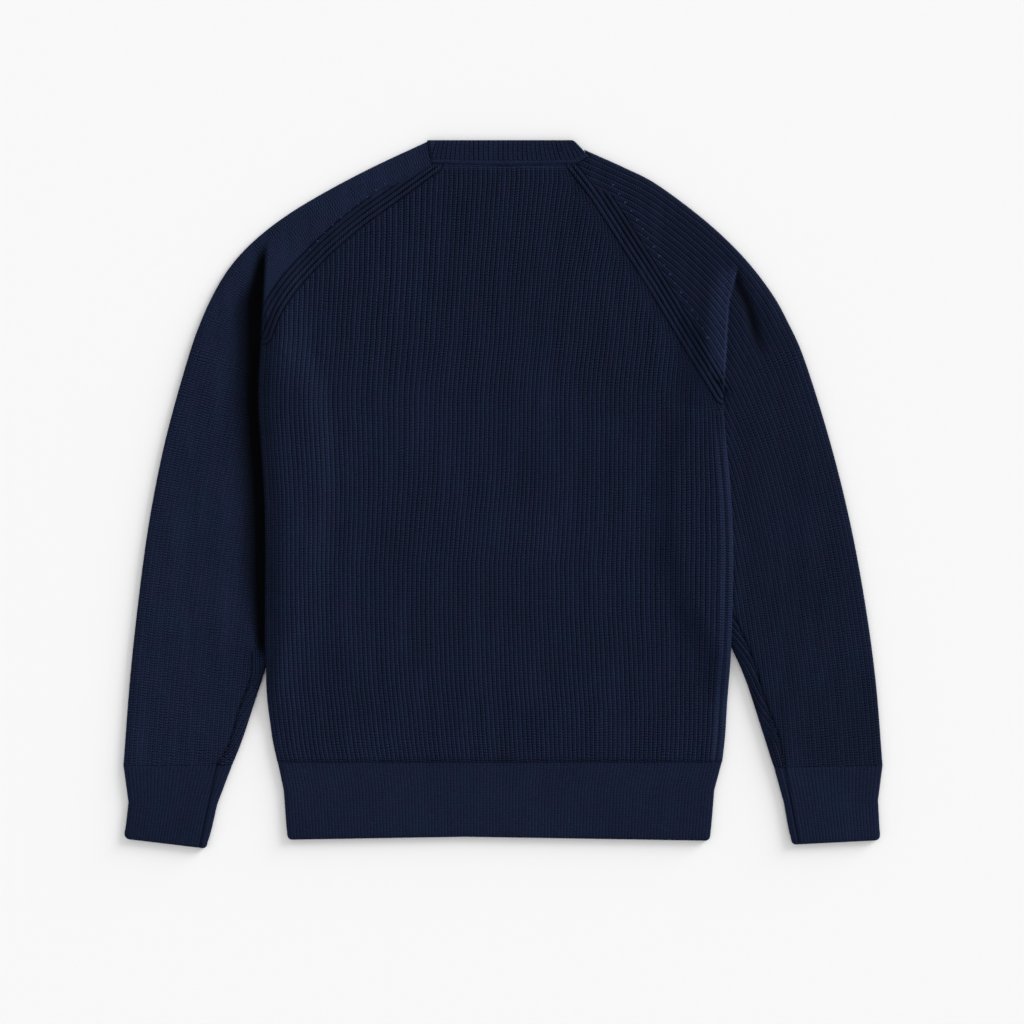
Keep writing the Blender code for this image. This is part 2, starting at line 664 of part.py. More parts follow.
def make_cuff(side):
    """One cuff: a flattened tube, ribbed above and plain where it rests."""
    upper = np.linspace(0.0, 1.0, 2 * CUFF_RIBS + 1)
    outer_rows = []
    inner_rows = []
    for outer_x, outer_y, inner_x, inner_y in CUFF_SECTIONS[side]:
        ends = np.array([[inner_x, inner_y], [outer_x, outer_y]])
        width = np.linalg.norm(ends[1] - ends[0])
        relief = np.where(np.arange(len(upper)) % 2 == 0, -1.0, 1.0)
        full = WALL - EDGE_LIP + FINE_RELIEF * relief
        round_top = rounding(np.minimum(upper, 1.0 - upper) * width, TOP_EDGE_ROUND)
        round_floor = rounding(np.minimum(CUFF_UNDER, 1.0 - CUFF_UNDER) * width, FLOOR_EDGE_ROUND)
        top_z = UPPER_BOTTOM + EDGE_LIP + full * round_top
        floor_z = (LOWER_TOP - EDGE_LIP) * (1.0 - round_floor)
        shares = np.concatenate([upper, CUFF_UNDER])
        plan = ends[0] + shares[:, None] * (ends[1] - ends[0])
        outer_rows.append(np.column_stack([plan, np.concatenate([top_z, floor_z])]))
        shares = np.concatenate([CUFF_HOLLOW, CUFF_HOLLOW[::-1]])
        plan = ends[0] + shares[:, None] * (ends[1] - ends[0])
        heights = np.repeat([UPPER_BOTTOM, LOWER_TOP], len(CUFF_HOLLOW))
        inner_rows.append(np.column_stack([plan, heights]))
    wall = Wall()
    outer = wall.grid(np.array(outer_rows))
    inner = wall.grid(np.array(inner_rows))
    wall.skin(outer, closed=True)
    wall.skin(inner, closed=True)
    top, half = len(upper), len(CUFF_HOLLOW)
    for row in (0, -1):
        wall.stitch(outer[row, :top], inner[row, :half])
        wall.stitch(outer[row, top - 1:top + 1], inner[row, half - 1:half + 1])
        wall.stitch(outer[row, top:], inner[row, half:])
        wall.stitch(outer[row, [-1, 0]], inner[row, [-1, 0]])
    return wall.build("cuff_" + side, NAVY_FINE, FINE_ROUGHNESS)


def band_sections():
    """Sections round the neckband: free edge, seam edge, turn of the cloth and relief."""
    free_left, free_right = np.array(BAND_FREE_EDGE)
    seam_edge = np.array(BAND_SEAM_EDGE)
    seam_left, seam_right = seam_edge[0], seam_edge[-1]
    seam_lengths = np.concatenate([[0.0], np.linalg.norm(np.diff(seam_edge, axis=0), axis=1).cumsum()])
    rows = []
    for number, share in enumerate(np.linspace(0.0, 1.0, 2 * BAND_RIBS + 1)):
        free = free_left + share * (free_right - free_left)
        seam = np.array([np.interp(share * seam_lengths[-1], seam_lengths, seam_edge[:, axis])
                         for axis in (0, 1)])
        seam[1] -= NECK_SAG * np.sin(np.pi * share)
        rows.append((free, seam, 0.0, 1.0, -1.0 if number % 2 == 0 else 1.0))
    for turn in np.linspace(0.0, np.pi, BAND_TURN_STEPS + 2)[1:-1]:
        rows.append((free_right, seam_right, turn, 1.0, 0.0))
    rows += front_strip(free_right, seam_right, free_left, seam_left)
    for turn in np.linspace(np.pi, 0.0, BAND_TURN_STEPS + 2)[1:-1]:
        rows.append((free_left, seam_left, turn, -1.0, 0.0))
    return rows


def front_strip(free_right, seam_right, free_left, seam_left):
    """Sections of the strip that follows the lower front neckline, from right to left."""
    rows = []
    for share in np.linspace(0.0, 1.0, BAND_FRONT_STEPS + 1):
        seam = seam_right + share * (seam_left - seam_right)
        seam[1] += FRONT_NECK_GAP * np.sin(np.pi * share) - front_neck_drop(seam[0])
        slope = FRONT_NECK_DROP * FRONT_NECK_POWER * abs(2.0 * share - 1.0) ** (FRONT_NECK_POWER - 1.0)
        slope *= 2.0 * np.sign(share - 0.5) / abs(seam_right[0] - seam_left[0])
        inward = np.array([slope, 1.0]) / np.hypot(slope, 1.0)
        at_end = free_right - seam_right if share < 0.5 else free_left - seam_left
        blend = smoothstep(1.0 - BAND_END_BLEND * min(share, 1.0 - share))
        aim = inward * (1.0 - blend) + at_end / np.linalg.norm(at_end) * blend
        rows.append((seam + BAND_WIDTH * aim / np.linalg.norm(aim), seam, np.pi, 1.0, 0.0))
    return rows


def make_neckband():
    """The neckband ring."""
    outer = []
    inner = []
    for free, seam, turn, way, relief in band_sections():
        away = np.array([way * np.sin(turn), np.cos(turn)])
        skin_out = BAND_FOLD_RADIUS + BAND_HALF_WALL + FINE_RELIEF * relief
        skin_in = BAND_FOLD_RADIUS - BAND_HALF_WALL
        outer.append([(*(edge + [away[0] * skin_out, 0.0]), BAND_MIDDLE + away[1] * skin_out)
                      for edge in (free, seam)])
        inner.append([(*(edge + [away[0] * skin_in, 0.0]), BAND_MIDDLE + away[1] * skin_in)
                      for edge in (free, seam)])
    wall = Wall()
    outer = wall.grid(np.array(outer).transpose(1, 0, 2))
    inner = wall.grid(np.array(inner).transpose(1, 0, 2))
    wall.skin(outer, closed=True)
    wall.skin(inner, closed=True)
    for row in (0, 1):
        wall.skin(np.vstack([outer[row], inner[row]]), closed=True)
    return wall.build("neckband", NAVY_FINE, FINE_ROUGHNESS)


def main():
    """Clear the scene and make every piece."""
    for old in list(bpy.data.objects):
        bpy.data.objects.remove(old, do_unlink=True)
    make_back_panel()
    make_front_panel()
    for side in ("left", "right"):
        make_sleeve(side)
        make_cuff(side)
    make_hem_back()
    make_hem_front()
    make_neckband()


main()
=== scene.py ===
"""Looks of the crewneck sweater: a finer knit shell for every panel, sleeve and band.

Tables are in millimetres, and the meshes are in metres, in the frame of the CAD part.
"""
import math
import bmesh
import bpy
import numpy as np
from mathutils import Matrix, Vector


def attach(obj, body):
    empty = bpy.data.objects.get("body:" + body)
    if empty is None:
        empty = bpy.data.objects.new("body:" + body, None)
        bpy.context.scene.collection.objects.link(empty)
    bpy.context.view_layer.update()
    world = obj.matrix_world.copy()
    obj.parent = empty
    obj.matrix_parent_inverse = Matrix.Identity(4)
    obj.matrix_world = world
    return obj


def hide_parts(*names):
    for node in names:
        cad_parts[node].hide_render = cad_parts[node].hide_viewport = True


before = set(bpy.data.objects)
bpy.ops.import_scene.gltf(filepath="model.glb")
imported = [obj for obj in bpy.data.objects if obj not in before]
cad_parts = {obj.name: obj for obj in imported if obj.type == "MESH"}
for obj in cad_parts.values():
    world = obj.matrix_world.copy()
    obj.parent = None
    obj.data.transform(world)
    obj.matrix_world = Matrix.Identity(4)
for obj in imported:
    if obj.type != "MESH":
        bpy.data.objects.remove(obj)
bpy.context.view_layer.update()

MM = 0.001

# Cloth thickness, layers and edges, as in the CAD part
WALL = 2.6
GAP = 0.4
SEAM_GAP = 0.1
LOWER_TOP = WALL
UPPER_BOTTOM = LOWER_TOP + GAP
UPPER_TOP = UPPER_BOTTOM + WALL
EDGE_LIP = 0.3
TOP_EDGE_ROUND = 7.0
FLOOR_EDGE_ROUND = 3.0
LIFT = 6.8
LIFT_RAMP = 34.0
LIFT_MARGIN = 9.0
CAP_LIP_WIDTH = 16.0
LIFT_FALL = 46.0
LIFT_FALL_BELOW = 18.0

# Body
BODY_RIBS = 101
HEM_LINE = -267.5
SIDES = [
    # y, left x, right x
    (159.5, -240.0, 222.5),
    (99.5, -243.0, 220.0),
    (51.5, -240.5, 223.0),
    (-3.5, -237.0, 228.0),
    (-63.5, -236.0, 230.0),
    (-149.5, -236.5, 228.0),
    (-197.5, -236.0, 225.0),
    (-240.5, -231.5, 222.5),
    (-267.5, -226.0, 219.5),
]
NECK_SEAM = 331.0
NECK_SAG = 2.0
FRONT_NECK_DROP = 62.0
FRONT_NECK_POWER = 2.5
LOWEST_TOP = 60.0
HALVINGS = 40
RAGLAN = {
    "left": [(-70.0, 331.0), (-110.0, 302.0), (-148.0, 274.5), (-182.0, 245.0), (-210.0, 214.5),
             (-229.0, 186.5), (-240.0, 159.5)],
    "right": [(73.0, 331.0), (97.0, 299.0), (127.0, 252.5), (157.0, 205.0), (190.0, 150.0),
              (220.0, 99.5)],
}
# Sideways drift of the rib lines up the body, at shares of its width from the left side
DRIFT_SHARES = [0.0, 0.06, 0.2, 0.35, 0.5, 0.65, 0.8, 0.94, 1.0]
RIB_DRIFT = [
    # y, drift at each share between the sides
    (-267.5, 0.0, 0.0, 0.0, 0.0, 0.0, 0.0, 0.0),
    (-214.0, 1.0, -1.0, -1.5, -1.5, -1.5, -1.0, -1.5),
    (-166.0, -1.0, -4.5, -5.5, -5.0, -6.5, -5.0, -3.5),
    (-118.0, -3.0, -7.0, -7.5, -7.5, -10.0, -9.0, -5.0),
    (-70.0, -4.0, -8.0, -7.5, -8.5, -11.5, -10.5, -5.5),
    (-22.0, -3.5, -5.5, -3.0, -4.0, -7.5, -8.5, -4.5),
    (26.0, -3.0, -2.5, 3.5, 3.0, -3.0, -4.5, -1.0),
    (74.0, -3.0, -0.5, 8.5, 8.0, 1.0, 0.5, 3.0),
    (122.0, -2.0, 0.0, 11.0, 10.5, 2.5, 2.5, 5.0),
    (170.0, -1.5, 1.0, 13.0, 12.5, 5.5, 5.5, 8.0),
    (218.0, 0.0, 4.5, 16.0, 15.5, 10.5, 11.0, 14.0),
    (266.0, 0.0, 5.5, 18.5, 20.0, 18.5, 20.0, 22.0),
    (314.0, 0.0, 4.0, 21.0, 24.0, 27.0, 28.0, 28.0),
]

# Lines beside the raglan seams
BAND_WIDTH_BODY = 10.6
BAND_LINE_PITCH = 4.85
LONGEST_STRETCH = 2.6

# Sleeves
CAP_FOLD = {
    "left": [(-221.0, 292.0), (-231.0, 256.0), (-235.5, 248.0), (-238.0, 201.5), (-240.0, 159.5)],
    "right": [(238.0, 262.0), (233.0, 226.0), (230.0, 212.0), (225.0, 190.0), (222.0, 140.0),
              (220.0, 99.5)],
}
FOLD_TIP = {"left": 258.0, "right": 230.0}
FOLD_RISE = {"left": 52.0, "right": 66.0}
UNDERARM = {"left": 159.5, "right": 99.5}
SLEEVE_LEAVES = {"left": -172.0, "right": -151.0}
CAP_FADE_START = 3.0
CAP_FADE_LENGTH = 12.0
CAP_DROP_WIDTH = 2.4
BAND_FADE_RIBS = 0.5
OUTER_EDGE = {
    "left": [(-77.5, 352.5), (-129.0, 328.5), (-175.0, 304.5), (-215.0, 280.5), (-247.0, 256.0),
             (-270.0, 232.0), (-286.5, 207.0), (-302.0, 174.5), (-316.0, 134.5), (-338.0, 54.5),
             (-354.0, -25.5), (-365.0, -105.5), (-373.5, -185.5), (-380.0, -271.0)],
    "right": [(94.0, 339.6), (122.0, 327.0), (154.0, 310.5), (202.0, 274.5), (240.0, 238.5),
              (268.0, 203.0), (285.0, 173.0), (302.0, 134.5), (327.0, 54.5), (347.0, -25.5),
              (362.0, -105.5), (373.0, -185.5), (380.0, -271.0)],
}
INNER_EDGE = {
    "left": [(-240.0, 159.5), (-219.0, 122.5), (-206.0, 74.5), (-203.0, 14.5), (-207.0, -45.5),
             (-217.0, -105.5), (-237.0, -172.5), (-248.0, -205.5), (-261.0, -245.5),
             (-271.0, -270.5)],
    "right": [(220.0, 99.5), (200.0, 64.5), (190.0, 14.5), (191.0, -45.5), (203.0, -100.5),
              (228.0, -151.5), (243.0, -185.5), (256.0, -225.5), (271.0, -272.5)],
}
NECK_END = {"left": [(-77.0, 358.5), (-75.9, 352.0), (-72.2, 331.9), (-70.9, 331.0)],
            "right": [(80.3, 347.5), (82.0, 343.5), (88.0, 337.3), (84.6, 336.7), (73.3, 331.0)]}
SLEEVE_PITCH = 4.65
CAP_SPREAD = {"left": 1.0, "right": 1.19}
CAP_SPREAD_TOP = 210.0
CAP_SPREAD_END = 40.0
SHORTEST_COLUMN = 26.0
LINE_RUN_ON = 8.0
CORNER_RUN_ON = 0.04
NORMAL_SMOOTHING = 9
FOLD_CLEAR = 12.0
FOLD_ROOM = 1.0
BAND_ROOM = 1.35

# Fine rib bands
HEM_RIBS = 132
HEM_MIDDLE = 0.42
HEM_WIDTH = 445.0
HEM_SECTIONS = [
    # y at the left, middle and right, left x, right x
    (-267.6, -267.6, -267.6, -225.6, 219.1),
    (-296.0, -295.0, -296.0, -219.5, 211.5),
    (-345.5, -342.5, -346.5, -216.0, 207.5),
]
CUFF_RIBS = 28
CUFF_SECTIONS = {
    # outer x, outer y, inner x, inner y
    "left": [(-380.0, -271.15, -271.1, -270.65), (-375.0, -308.0, -286.0, -310.0),
             (-379.0, -344.5, -296.0, -354.5)],
    "right": [(380.0, -271.15, 271.2, -272.65), (375.5, -306.0, 281.0, -308.0),
              (377.5, -346.0, 288.5, -350.5)],
}

# Neckband: a flattened ring
NECK_RIBS = 29
BAND_HALF_WALL = 1.35
BAND_FOLD_RADIUS = 1.75
BAND_MIDDLE = BAND_HALF_WALL + BAND_FOLD_RADIUS
BAND_FREE_EDGE = [(-73.5, 354.5), (68.0, 354.5)]
BAND_SEAM_EDGE = [(-69.2, 331.25), (73.6, 331.4), (84.5, 337.2)]
NECK_BAND_WIDTH = 21.5
FRONT_NECK_GAP = 1.0
BAND_END_BLEND = 2.4

# Corners of the bands, and the smooth linked ridge along the neck seam
CORNER_ROUND = 5.0
CORNER_LEVEL = 1.6
LINKED_RIDGE = 4.0
NECK_PITCH = 4.9
NECK_FAN = [
    # x at the seam, sideways run of the rib up to the free edge
    (-75.0, 8.0), (-66.0, 5.0), (-50.0, 2.5), (-30.0, 0.0), (15.0, 0.0), (35.0, -3.0),
    (54.0, -6.0), (74.0, -10.0), (85.0, -17.0),
]

# Ribs of the back hook over towards the right raglan seam
HOOK_SHIFT = 4.5
HOOK_REACH = 5.0
HOOK_START = 40.0

# How fine the shells are: points for each rib, and spacing of their rows
RIB_POINTS = 6
CUFF_POINTS = 6
NECK_POINTS = 8
BAND_ROW_STEP = 0.6
BODY_ROWS = 92
STITCH_ROW = 2.55
PLAIN_COLUMN_STEP = 8
PLAIN_SLEEVE_STEP = 7
PLAIN_BAND_STEP = 5

# The left edge of the back, which turns down over the sleeve
LEFT_EDGE_ROUND = 20.0
LEFT_EDGE_DROP = 2.2

# The deep fold beside the left edge of the body, and the crease above the right fold, both with
# painted shade
POCKET = [
    # y, width of its floor
    (-166.0, 0.0), (-146.0, 6.0), (-86.0, 10.0), (114.0, 11.0), (194.0, 15.0), (238.0, 4.0),
    (256.0, 0.0),
]
POCKET_SLOPE = 10.0
POCKET_OPEN_WIDTH = 5.0
POCKET_UNDER_CAP = 3.0
POCKET_DEPTH = 2.15
# Painted shade in the floor of the deep fold
POCKET_PAINTED_SHADE = 0.97
# Height on the body and how far the painted shadow of the fold reaches on to the sleeve
POCKET_PAINTED_SHADOW_REACH = [(-165.0, 1.0), (-125.0, 15.0), (-65.0, 24.0), (0.0, 24.0), (95.0, 26.0),
                 (175.0, 26.0), (215.0, 9.0), (240.0, 1.0)]
POCKET_PAINTED_SHADOW_DEPTH = 0.85
# Painted shade on the left edge of the back, which turns down away from the key light
LEFT_EDGE_PAINTED_SHADE = 0.42
NIP = [(231.0, 220.0), (238.0, 204.0), (245.0, 190.0), (252.0, 165.0), (259.0, 140.0)]
NIP_WIDTH = 5.5
# Painted shade in the crease above the right fold
NIP_PAINTED_SHADE = 0.78
NIP_END = 126.0
NIP_FADE = 44.0
# The painted highlight on the ridge along the right fold; its ends are a height on the sleeve and a
# length of fade
RIDGE_PAINTED_HIGHLIGHT = 0.75
RIDGE_UNDER_CAP = 2.0
RIDGE_CREST = 4.0
RIDGE_WIDTH = 20.0
RIDGE_LOW = (100.0, 40.0)
RIDGE_HIGH = (215.0, 20.0)
# Painted highlight on the rolled right side of the back
ROLL_PAINTED_HIGHLIGHT = 0.18

# Soft creases in the sleeves: points of the crease, half width, depth (below zero for a ridge)
CREASES = {
    "left": [
        ([(-262.0, 238.0), (-283.0, 190.0), (-300.0, 140.0)], 11.0, -0.7),
        ([(-330.0, 40.0), (-318.0, -30.0), (-326.0, -110.0)], 16.0, 0.7),
        ([(-290.0, 20.0), (-283.0, -70.0), (-292.0, -150.0)], 14.0, -0.6),
    ],
    "right": [
        ([(247.0, 228.0), (262.0, 196.0), (276.0, 160.0)], 8.0, -0.7),
        ([(240.0, 60.0), (243.0, -30.0), (250.0, -100.0)], 10.0, 1.0),
        ([(312.0, 60.0), (306.0, -30.0), (322.0, -120.0)], 16.0, -0.7),
    ],
}
BODY_CREASES = [
    ([(-150.0, 190.0), (-120.0, 60.0), (-135.0, -90.0)], 34.0, 0.5),
    ([(-60.0, 120.0), (-40.0, -20.0), (-75.0, -170.0)], 30.0, -0.5),
    ([(60.0, 250.0), (85.0, 110.0), (60.0, -60.0)], 32.0, 0.5),
    ([(150.0, 90.0), (165.0, -40.0), (140.0, -190.0)], 26.0, -0.5),
    ([(-190.0, -130.0), (-90.0, -190.0), (40.0, -205.0)], 20.0, -0.4),
]
# The right side seam rolls up on to the back as a plain narrow roll with a groove beside it
ROLL_TOP = 30.0
ROLL_FADE = 60.0
ROLL_WIDTH = 11.0
ROLL_GROOVE = 7.2
ROLL_GROOVE_DEPTH = 1.7
ROLL_GROOVE_WIDTH = 1.3
ROLL_RISE = 0.5
UNDERARM_SEAM = {
    "left": [(-251.0, -160.5), (-253.0, -184.5), (-264.0, -214.5), (-275.0, -251.5),
             (-286.0, -270.0)],
    "right": [(231.0, -121.5), (249.0, -162.5), (262.0, -205.5), (275.0, -240.5),
              (281.0, -270.0)],
}
SEAM_GROOVE_WIDTH = 1.4
SEAM_GROOVE_DEPTH = 0.9
# Painted shade in the underarm seam groove
SEAM_PAINTED_SHADE = 0.5
GUSSET_REACH = 12.0
GUSSET_RUN_ON = 8.0


def smoothstep(value):
    """Ease from 0 to 1 as the value goes from 0 to 1."""
    share = np.clip(value, 0.0, 1.0)
    return share * share * (3.0 - 2.0 * share)


def rounding(distance, radius):
    """Height share of a rounded edge, 0 at the edge and 1 from the radius on."""
    share = np.clip(distance / radius, 0.0, 1.0)
    return np.sqrt(1.0 - (1.0 - share) ** 2)


def bell(distance, width):
    """Falls softly from 1 at no distance to almost 0 at two widths."""
    return np.exp(-(distance / width) ** 2)


def run_lengths(points):
    """Way along a line of points, from 0 at its first point."""
    return np.concatenate([[0.0], np.linalg.norm(np.diff(points, axis=0), axis=1).cumsum()])


def smooth_path(knots, step=3.0):
    """Points about one step apart on a Catmull-Rom curve through the knots."""
    points = np.asarray(knots, dtype=float)
    padded = np.vstack([2 * points[0] - points[1], points, 2 * points[-1] - points[-2]])
    path = [points[0]]
    for index in range(len(points) - 1):
        before, start, end, after = padded[index:index + 4]
        count = max(2, int(np.linalg.norm(end - start) / step))
        for t in np.arange(1, count + 1) / count:
            bend = 2 * before - 5 * start + 4 * end - after
            twist = 3 * start - before - 3 * end + after
            path.append(0.5 * (2 * start + (end - before) * t + bend * t ** 2 + twist * t ** 3))
    return np.array(path)


def path_directions(path):
    """Unit direction at each point of a path."""
    steps = np.gradient(path, axis=0)
    return steps / np.linalg.norm(steps, axis=1)[:, None]


def x_at(path, y):
    """X of a path that runs along Y, at the height y."""
    order = np.argsort(path[:, 1])
    return np.interp(y, path[order, 1], path[order, 0])


def nearest_on(path, points):
    """Distance in plan from each point to a path, and its nearest place in the path's points."""
    nearest = np.full(len(points), np.inf)
    station = np.zeros(len(points))
    for index, (start, end) in enumerate(zip(path[:-1], path[1:])):
        step = end - start
        reach = points - start
        share = np.clip(reach @ step / (step @ step), 0.0, 1.0)
        distance = np.linalg.norm(reach - share[:, None] * step, axis=1)
        station = np.where(distance < nearest, index + share, station)
        nearest = np.minimum(nearest, distance)
    return nearest, station


def distance_to(path, points):
    """Distance in plan from each point to a path."""
    return nearest_on(path, points)[0]


def beside(path, x, y):
    """Distance of each point of a grid from a path, and its nearest place in the path's points."""
    distance, station = nearest_on(path, np.column_stack([x.ravel(), y.ravel()]))
    return distance.reshape(x.shape), station.reshape(x.shape)


def interpolated(table, at):
    """Values of a table of pairs, whose first numbers rise, at any place between them."""
    places, values = np.array(table).T
    return np.interp(at, places, values)


def first_crossing(path, other):
    """Station on the first path, counted in its points, where it first meets the other."""
    a = path[:-1, None, :]
    u = path[1:, None, :] - a
    b = other[None, :-1, :]
    w = other[None, 1:, :] - b
    cross = u[..., 0] * w[..., 1] - u[..., 1] * w[..., 0]
    cross = np.where(np.abs(cross) < 1e-12, np.inf, cross)
    reach = b - a
    on_path = (reach[..., 0] * w[..., 1] - reach[..., 1] * w[..., 0]) / cross
    on_other = (reach[..., 0] * u[..., 1] - reach[..., 1] * u[..., 0]) / cross
    hit = (on_path >= 0) & (on_path <= 1) & (on_other >= 0) & (on_other <= 1)
    stations = np.where(hit, np.arange(len(path) - 1)[:, None] + on_path, np.inf)
    return stations.min()


LEFT_SIDE = smooth_path([(left, y) for y, left, right in SIDES])
RIGHT_SIDE = smooth_path([(right, y) for y, left, right in SIDES])
SIDE = {"left": LEFT_SIDE, "right": RIGHT_SIDE}
SEAM = {side: smooth_path(RAGLAN[side]) for side in RAGLAN}
INNER = {side: smooth_path(INNER_EDGE[side]) for side in INNER_EDGE}
INWARD = {"left": 1.0, "right": -1.0}


def fold_path(side):
    """The fold of the cap and below it the side edge of the body, as one line."""
    below = [point for point in SIDE[side] if point[1] < UNDERARM[side] - 1.0]
    return np.vstack([smooth_path(CAP_FOLD[side]), below])


FOLD = {side: fold_path(side) for side in SIDE}


def lift(side, x, y):
    """Height that the sleeve under one side of the body adds to the layers above it."""
    inside = (x - x_at(FOLD[side], y)) * INWARD[side]
    overlap = (x_at(INNER[side], y) - x_at(SIDE[side], y)) * INWARD[side] + LIFT_MARGIN
    width = np.where(y < UNDERARM[side], np.maximum(overlap, 0.0), 0.0)
    width = np.maximum(width, CAP_LIP_WIDTH * smoothstep((y - SLEEVE_LEAVES[side]) / LIFT_FALL))
    across = 1.0 - smoothstep((inside - width) / LIFT_RAMP)
    rise = smoothstep((FOLD_TIP[side] - y) / FOLD_RISE[side])
    fall = smoothstep((y - SLEEVE_LEAVES[side] + LIFT_FALL + LIFT_FALL_BELOW) / LIFT_FALL)
    return LIFT * across * rise * fall


def body_lift(x, y):
    """Lift over both sleeves."""
    return lift("left", x, y) + lift("right", x, y)


def rib_drift(share, y):
    """Sideways drift of a rib line."""
    table = np.array(RIB_DRIFT)
    heights = table[:, 0]
    values = np.column_stack([0.0 * heights, table[:, 1:], 0.0 * heights])
    at = np.interp(share, DRIFT_SHARES, np.arange(len(DRIFT_SHARES)))
    low = np.minimum(at.astype(int), len(DRIFT_SHARES) - 2)
    blend = smoothstep(at - low) * 0.5 + (at - low) * 0.5
    level = np.interp(y, heights, np.arange(len(heights)))
    row = np.minimum(level.astype(int), len(heights) - 2)
    up = level - row
    low, blend = np.broadcast_arrays(low, blend)
    low = np.broadcast_to(low, row.shape)
    here, next_on = [values[row, column] * (1 - up) + values[row + 1, column] * up
                     for column in (low, low + 1)]
    return here * (1 - blend) + next_on * blend


def body_x(share, y):
    """X of the rib line that lies at a share of the body's width, 0 at the left side."""
    left = x_at(LEFT_SIDE, y)
    right = x_at(RIGHT_SIDE, y)
    return left + share * (right - left) + rib_drift(share, y)


def back_outline(x):
    """Top of the back panel: raglan, neckline, raglan."""
    left = SEAM["left"][::-1]
    right = SEAM["right"]
    middle = 0.5 * (left[-1, 0] + right[0, 0])
    neck = np.array([[middle, NECK_SEAM - NECK_SAG]])
    outline = np.vstack([left, neck, right])
    return np.interp(x, outline[:, 0], outline[:, 1])


def front_neck_drop(x):
    """How far the front neckline lies below the back one, at an x."""
    left = RAGLAN["left"][0][0]
    right = RAGLAN["right"][0][0]
    share = np.abs((x - 0.5 * (left + right)) / (0.5 * (right - left)))
    return FRONT_NECK_DROP * np.clip(1.0 - share ** FRONT_NECK_POWER, 0.0, 1.0)


def front_outline(x):
    """Top of the front panel, with its lower neckline."""
    return back_outline(x) - front_neck_drop(x)


def column_top(share, outline):
    """Highest y of each rib line, where it meets the outline."""
    low = np.full_like(share, LOWEST_TOP)
    high = np.full_like(share, NECK_SEAM)
    for _ in range(HALVINGS):
        middle = 0.5 * (low + high)
        below = outline(body_x(share, middle)) > middle
        low = np.where(below, middle, low)
        high = np.where(below, high, middle)
    return low


def body_plan(share, outline, offsets, steps):
    """Plan of a panel: rows of points from its top outline down to the hem line."""
    top = column_top(share, outline)
    x_top = body_x(share, top)
    slope = (outline(x_top + 1.0) - outline(x_top - 1.0)) / 2.0
    stretch = np.minimum(np.sqrt(1.0 + slope ** 2), LONGEST_STRETCH)
    y_rows = [top - (SEAM_GAP / 2 + offset) * stretch for offset in offsets]
    bottom = HEM_LINE + SEAM_GAP / 2
    under_band = y_rows[-1]
    for step in range(1, steps + 1):
        y_rows.append(under_band + (bottom - under_band) * step / steps)
    y = np.array(y_rows)
    return body_x(np.broadcast_to(share, y.shape), y), y


def side_distance(x, y):
    """Distance to the nearer side edge of the body."""
    return np.minimum(x - x_at(LEFT_SIDE, y), x_at(RIGHT_SIDE, y) - x)


def crease_height(creases, x, y):
    """Height that soft creases add to the cloth."""
    total = np.zeros(x.shape)
    for knots, width, depth in creases:
        total -= depth * bell(beside(smooth_path(knots, step=width), x, y)[0], width)
    return total


def pocket(x, y):
    """How far a point of the left sleeve lies in the deep fold beside the body, from 0 to 1."""
    outside = x_at(FOLD["left"], y) - x
    width = interpolated(POCKET, y)
    floor = 1.0 - smoothstep((outside - width) / POCKET_SLOPE)
    return floor * smoothstep(width / POCKET_OPEN_WIDTH) * (outside > -POCKET_UNDER_CAP)


def pocket_painted_shadow(x, y):
    """How far a point of the left sleeve lies in the painted shadow of its deep fold, from 0 to 1.
    """
    outside = x_at(FOLD["left"], y) - x
    beyond = outside - interpolated(POCKET, y)
    reach = interpolated(POCKET_PAINTED_SHADOW_REACH, y)
    return smoothstep(1.0 - beyond / reach) * (reach > 1.0) * (outside > -POCKET_UNDER_CAP)


def nip(x, y):
    """How far a point of the right sleeve lies in the crease above its fold, from 0 to 1."""
    near = bell(beside(smooth_path(NIP), x, y)[0], NIP_WIDTH)
    return near * smoothstep((y - NIP_END) / NIP_FADE)


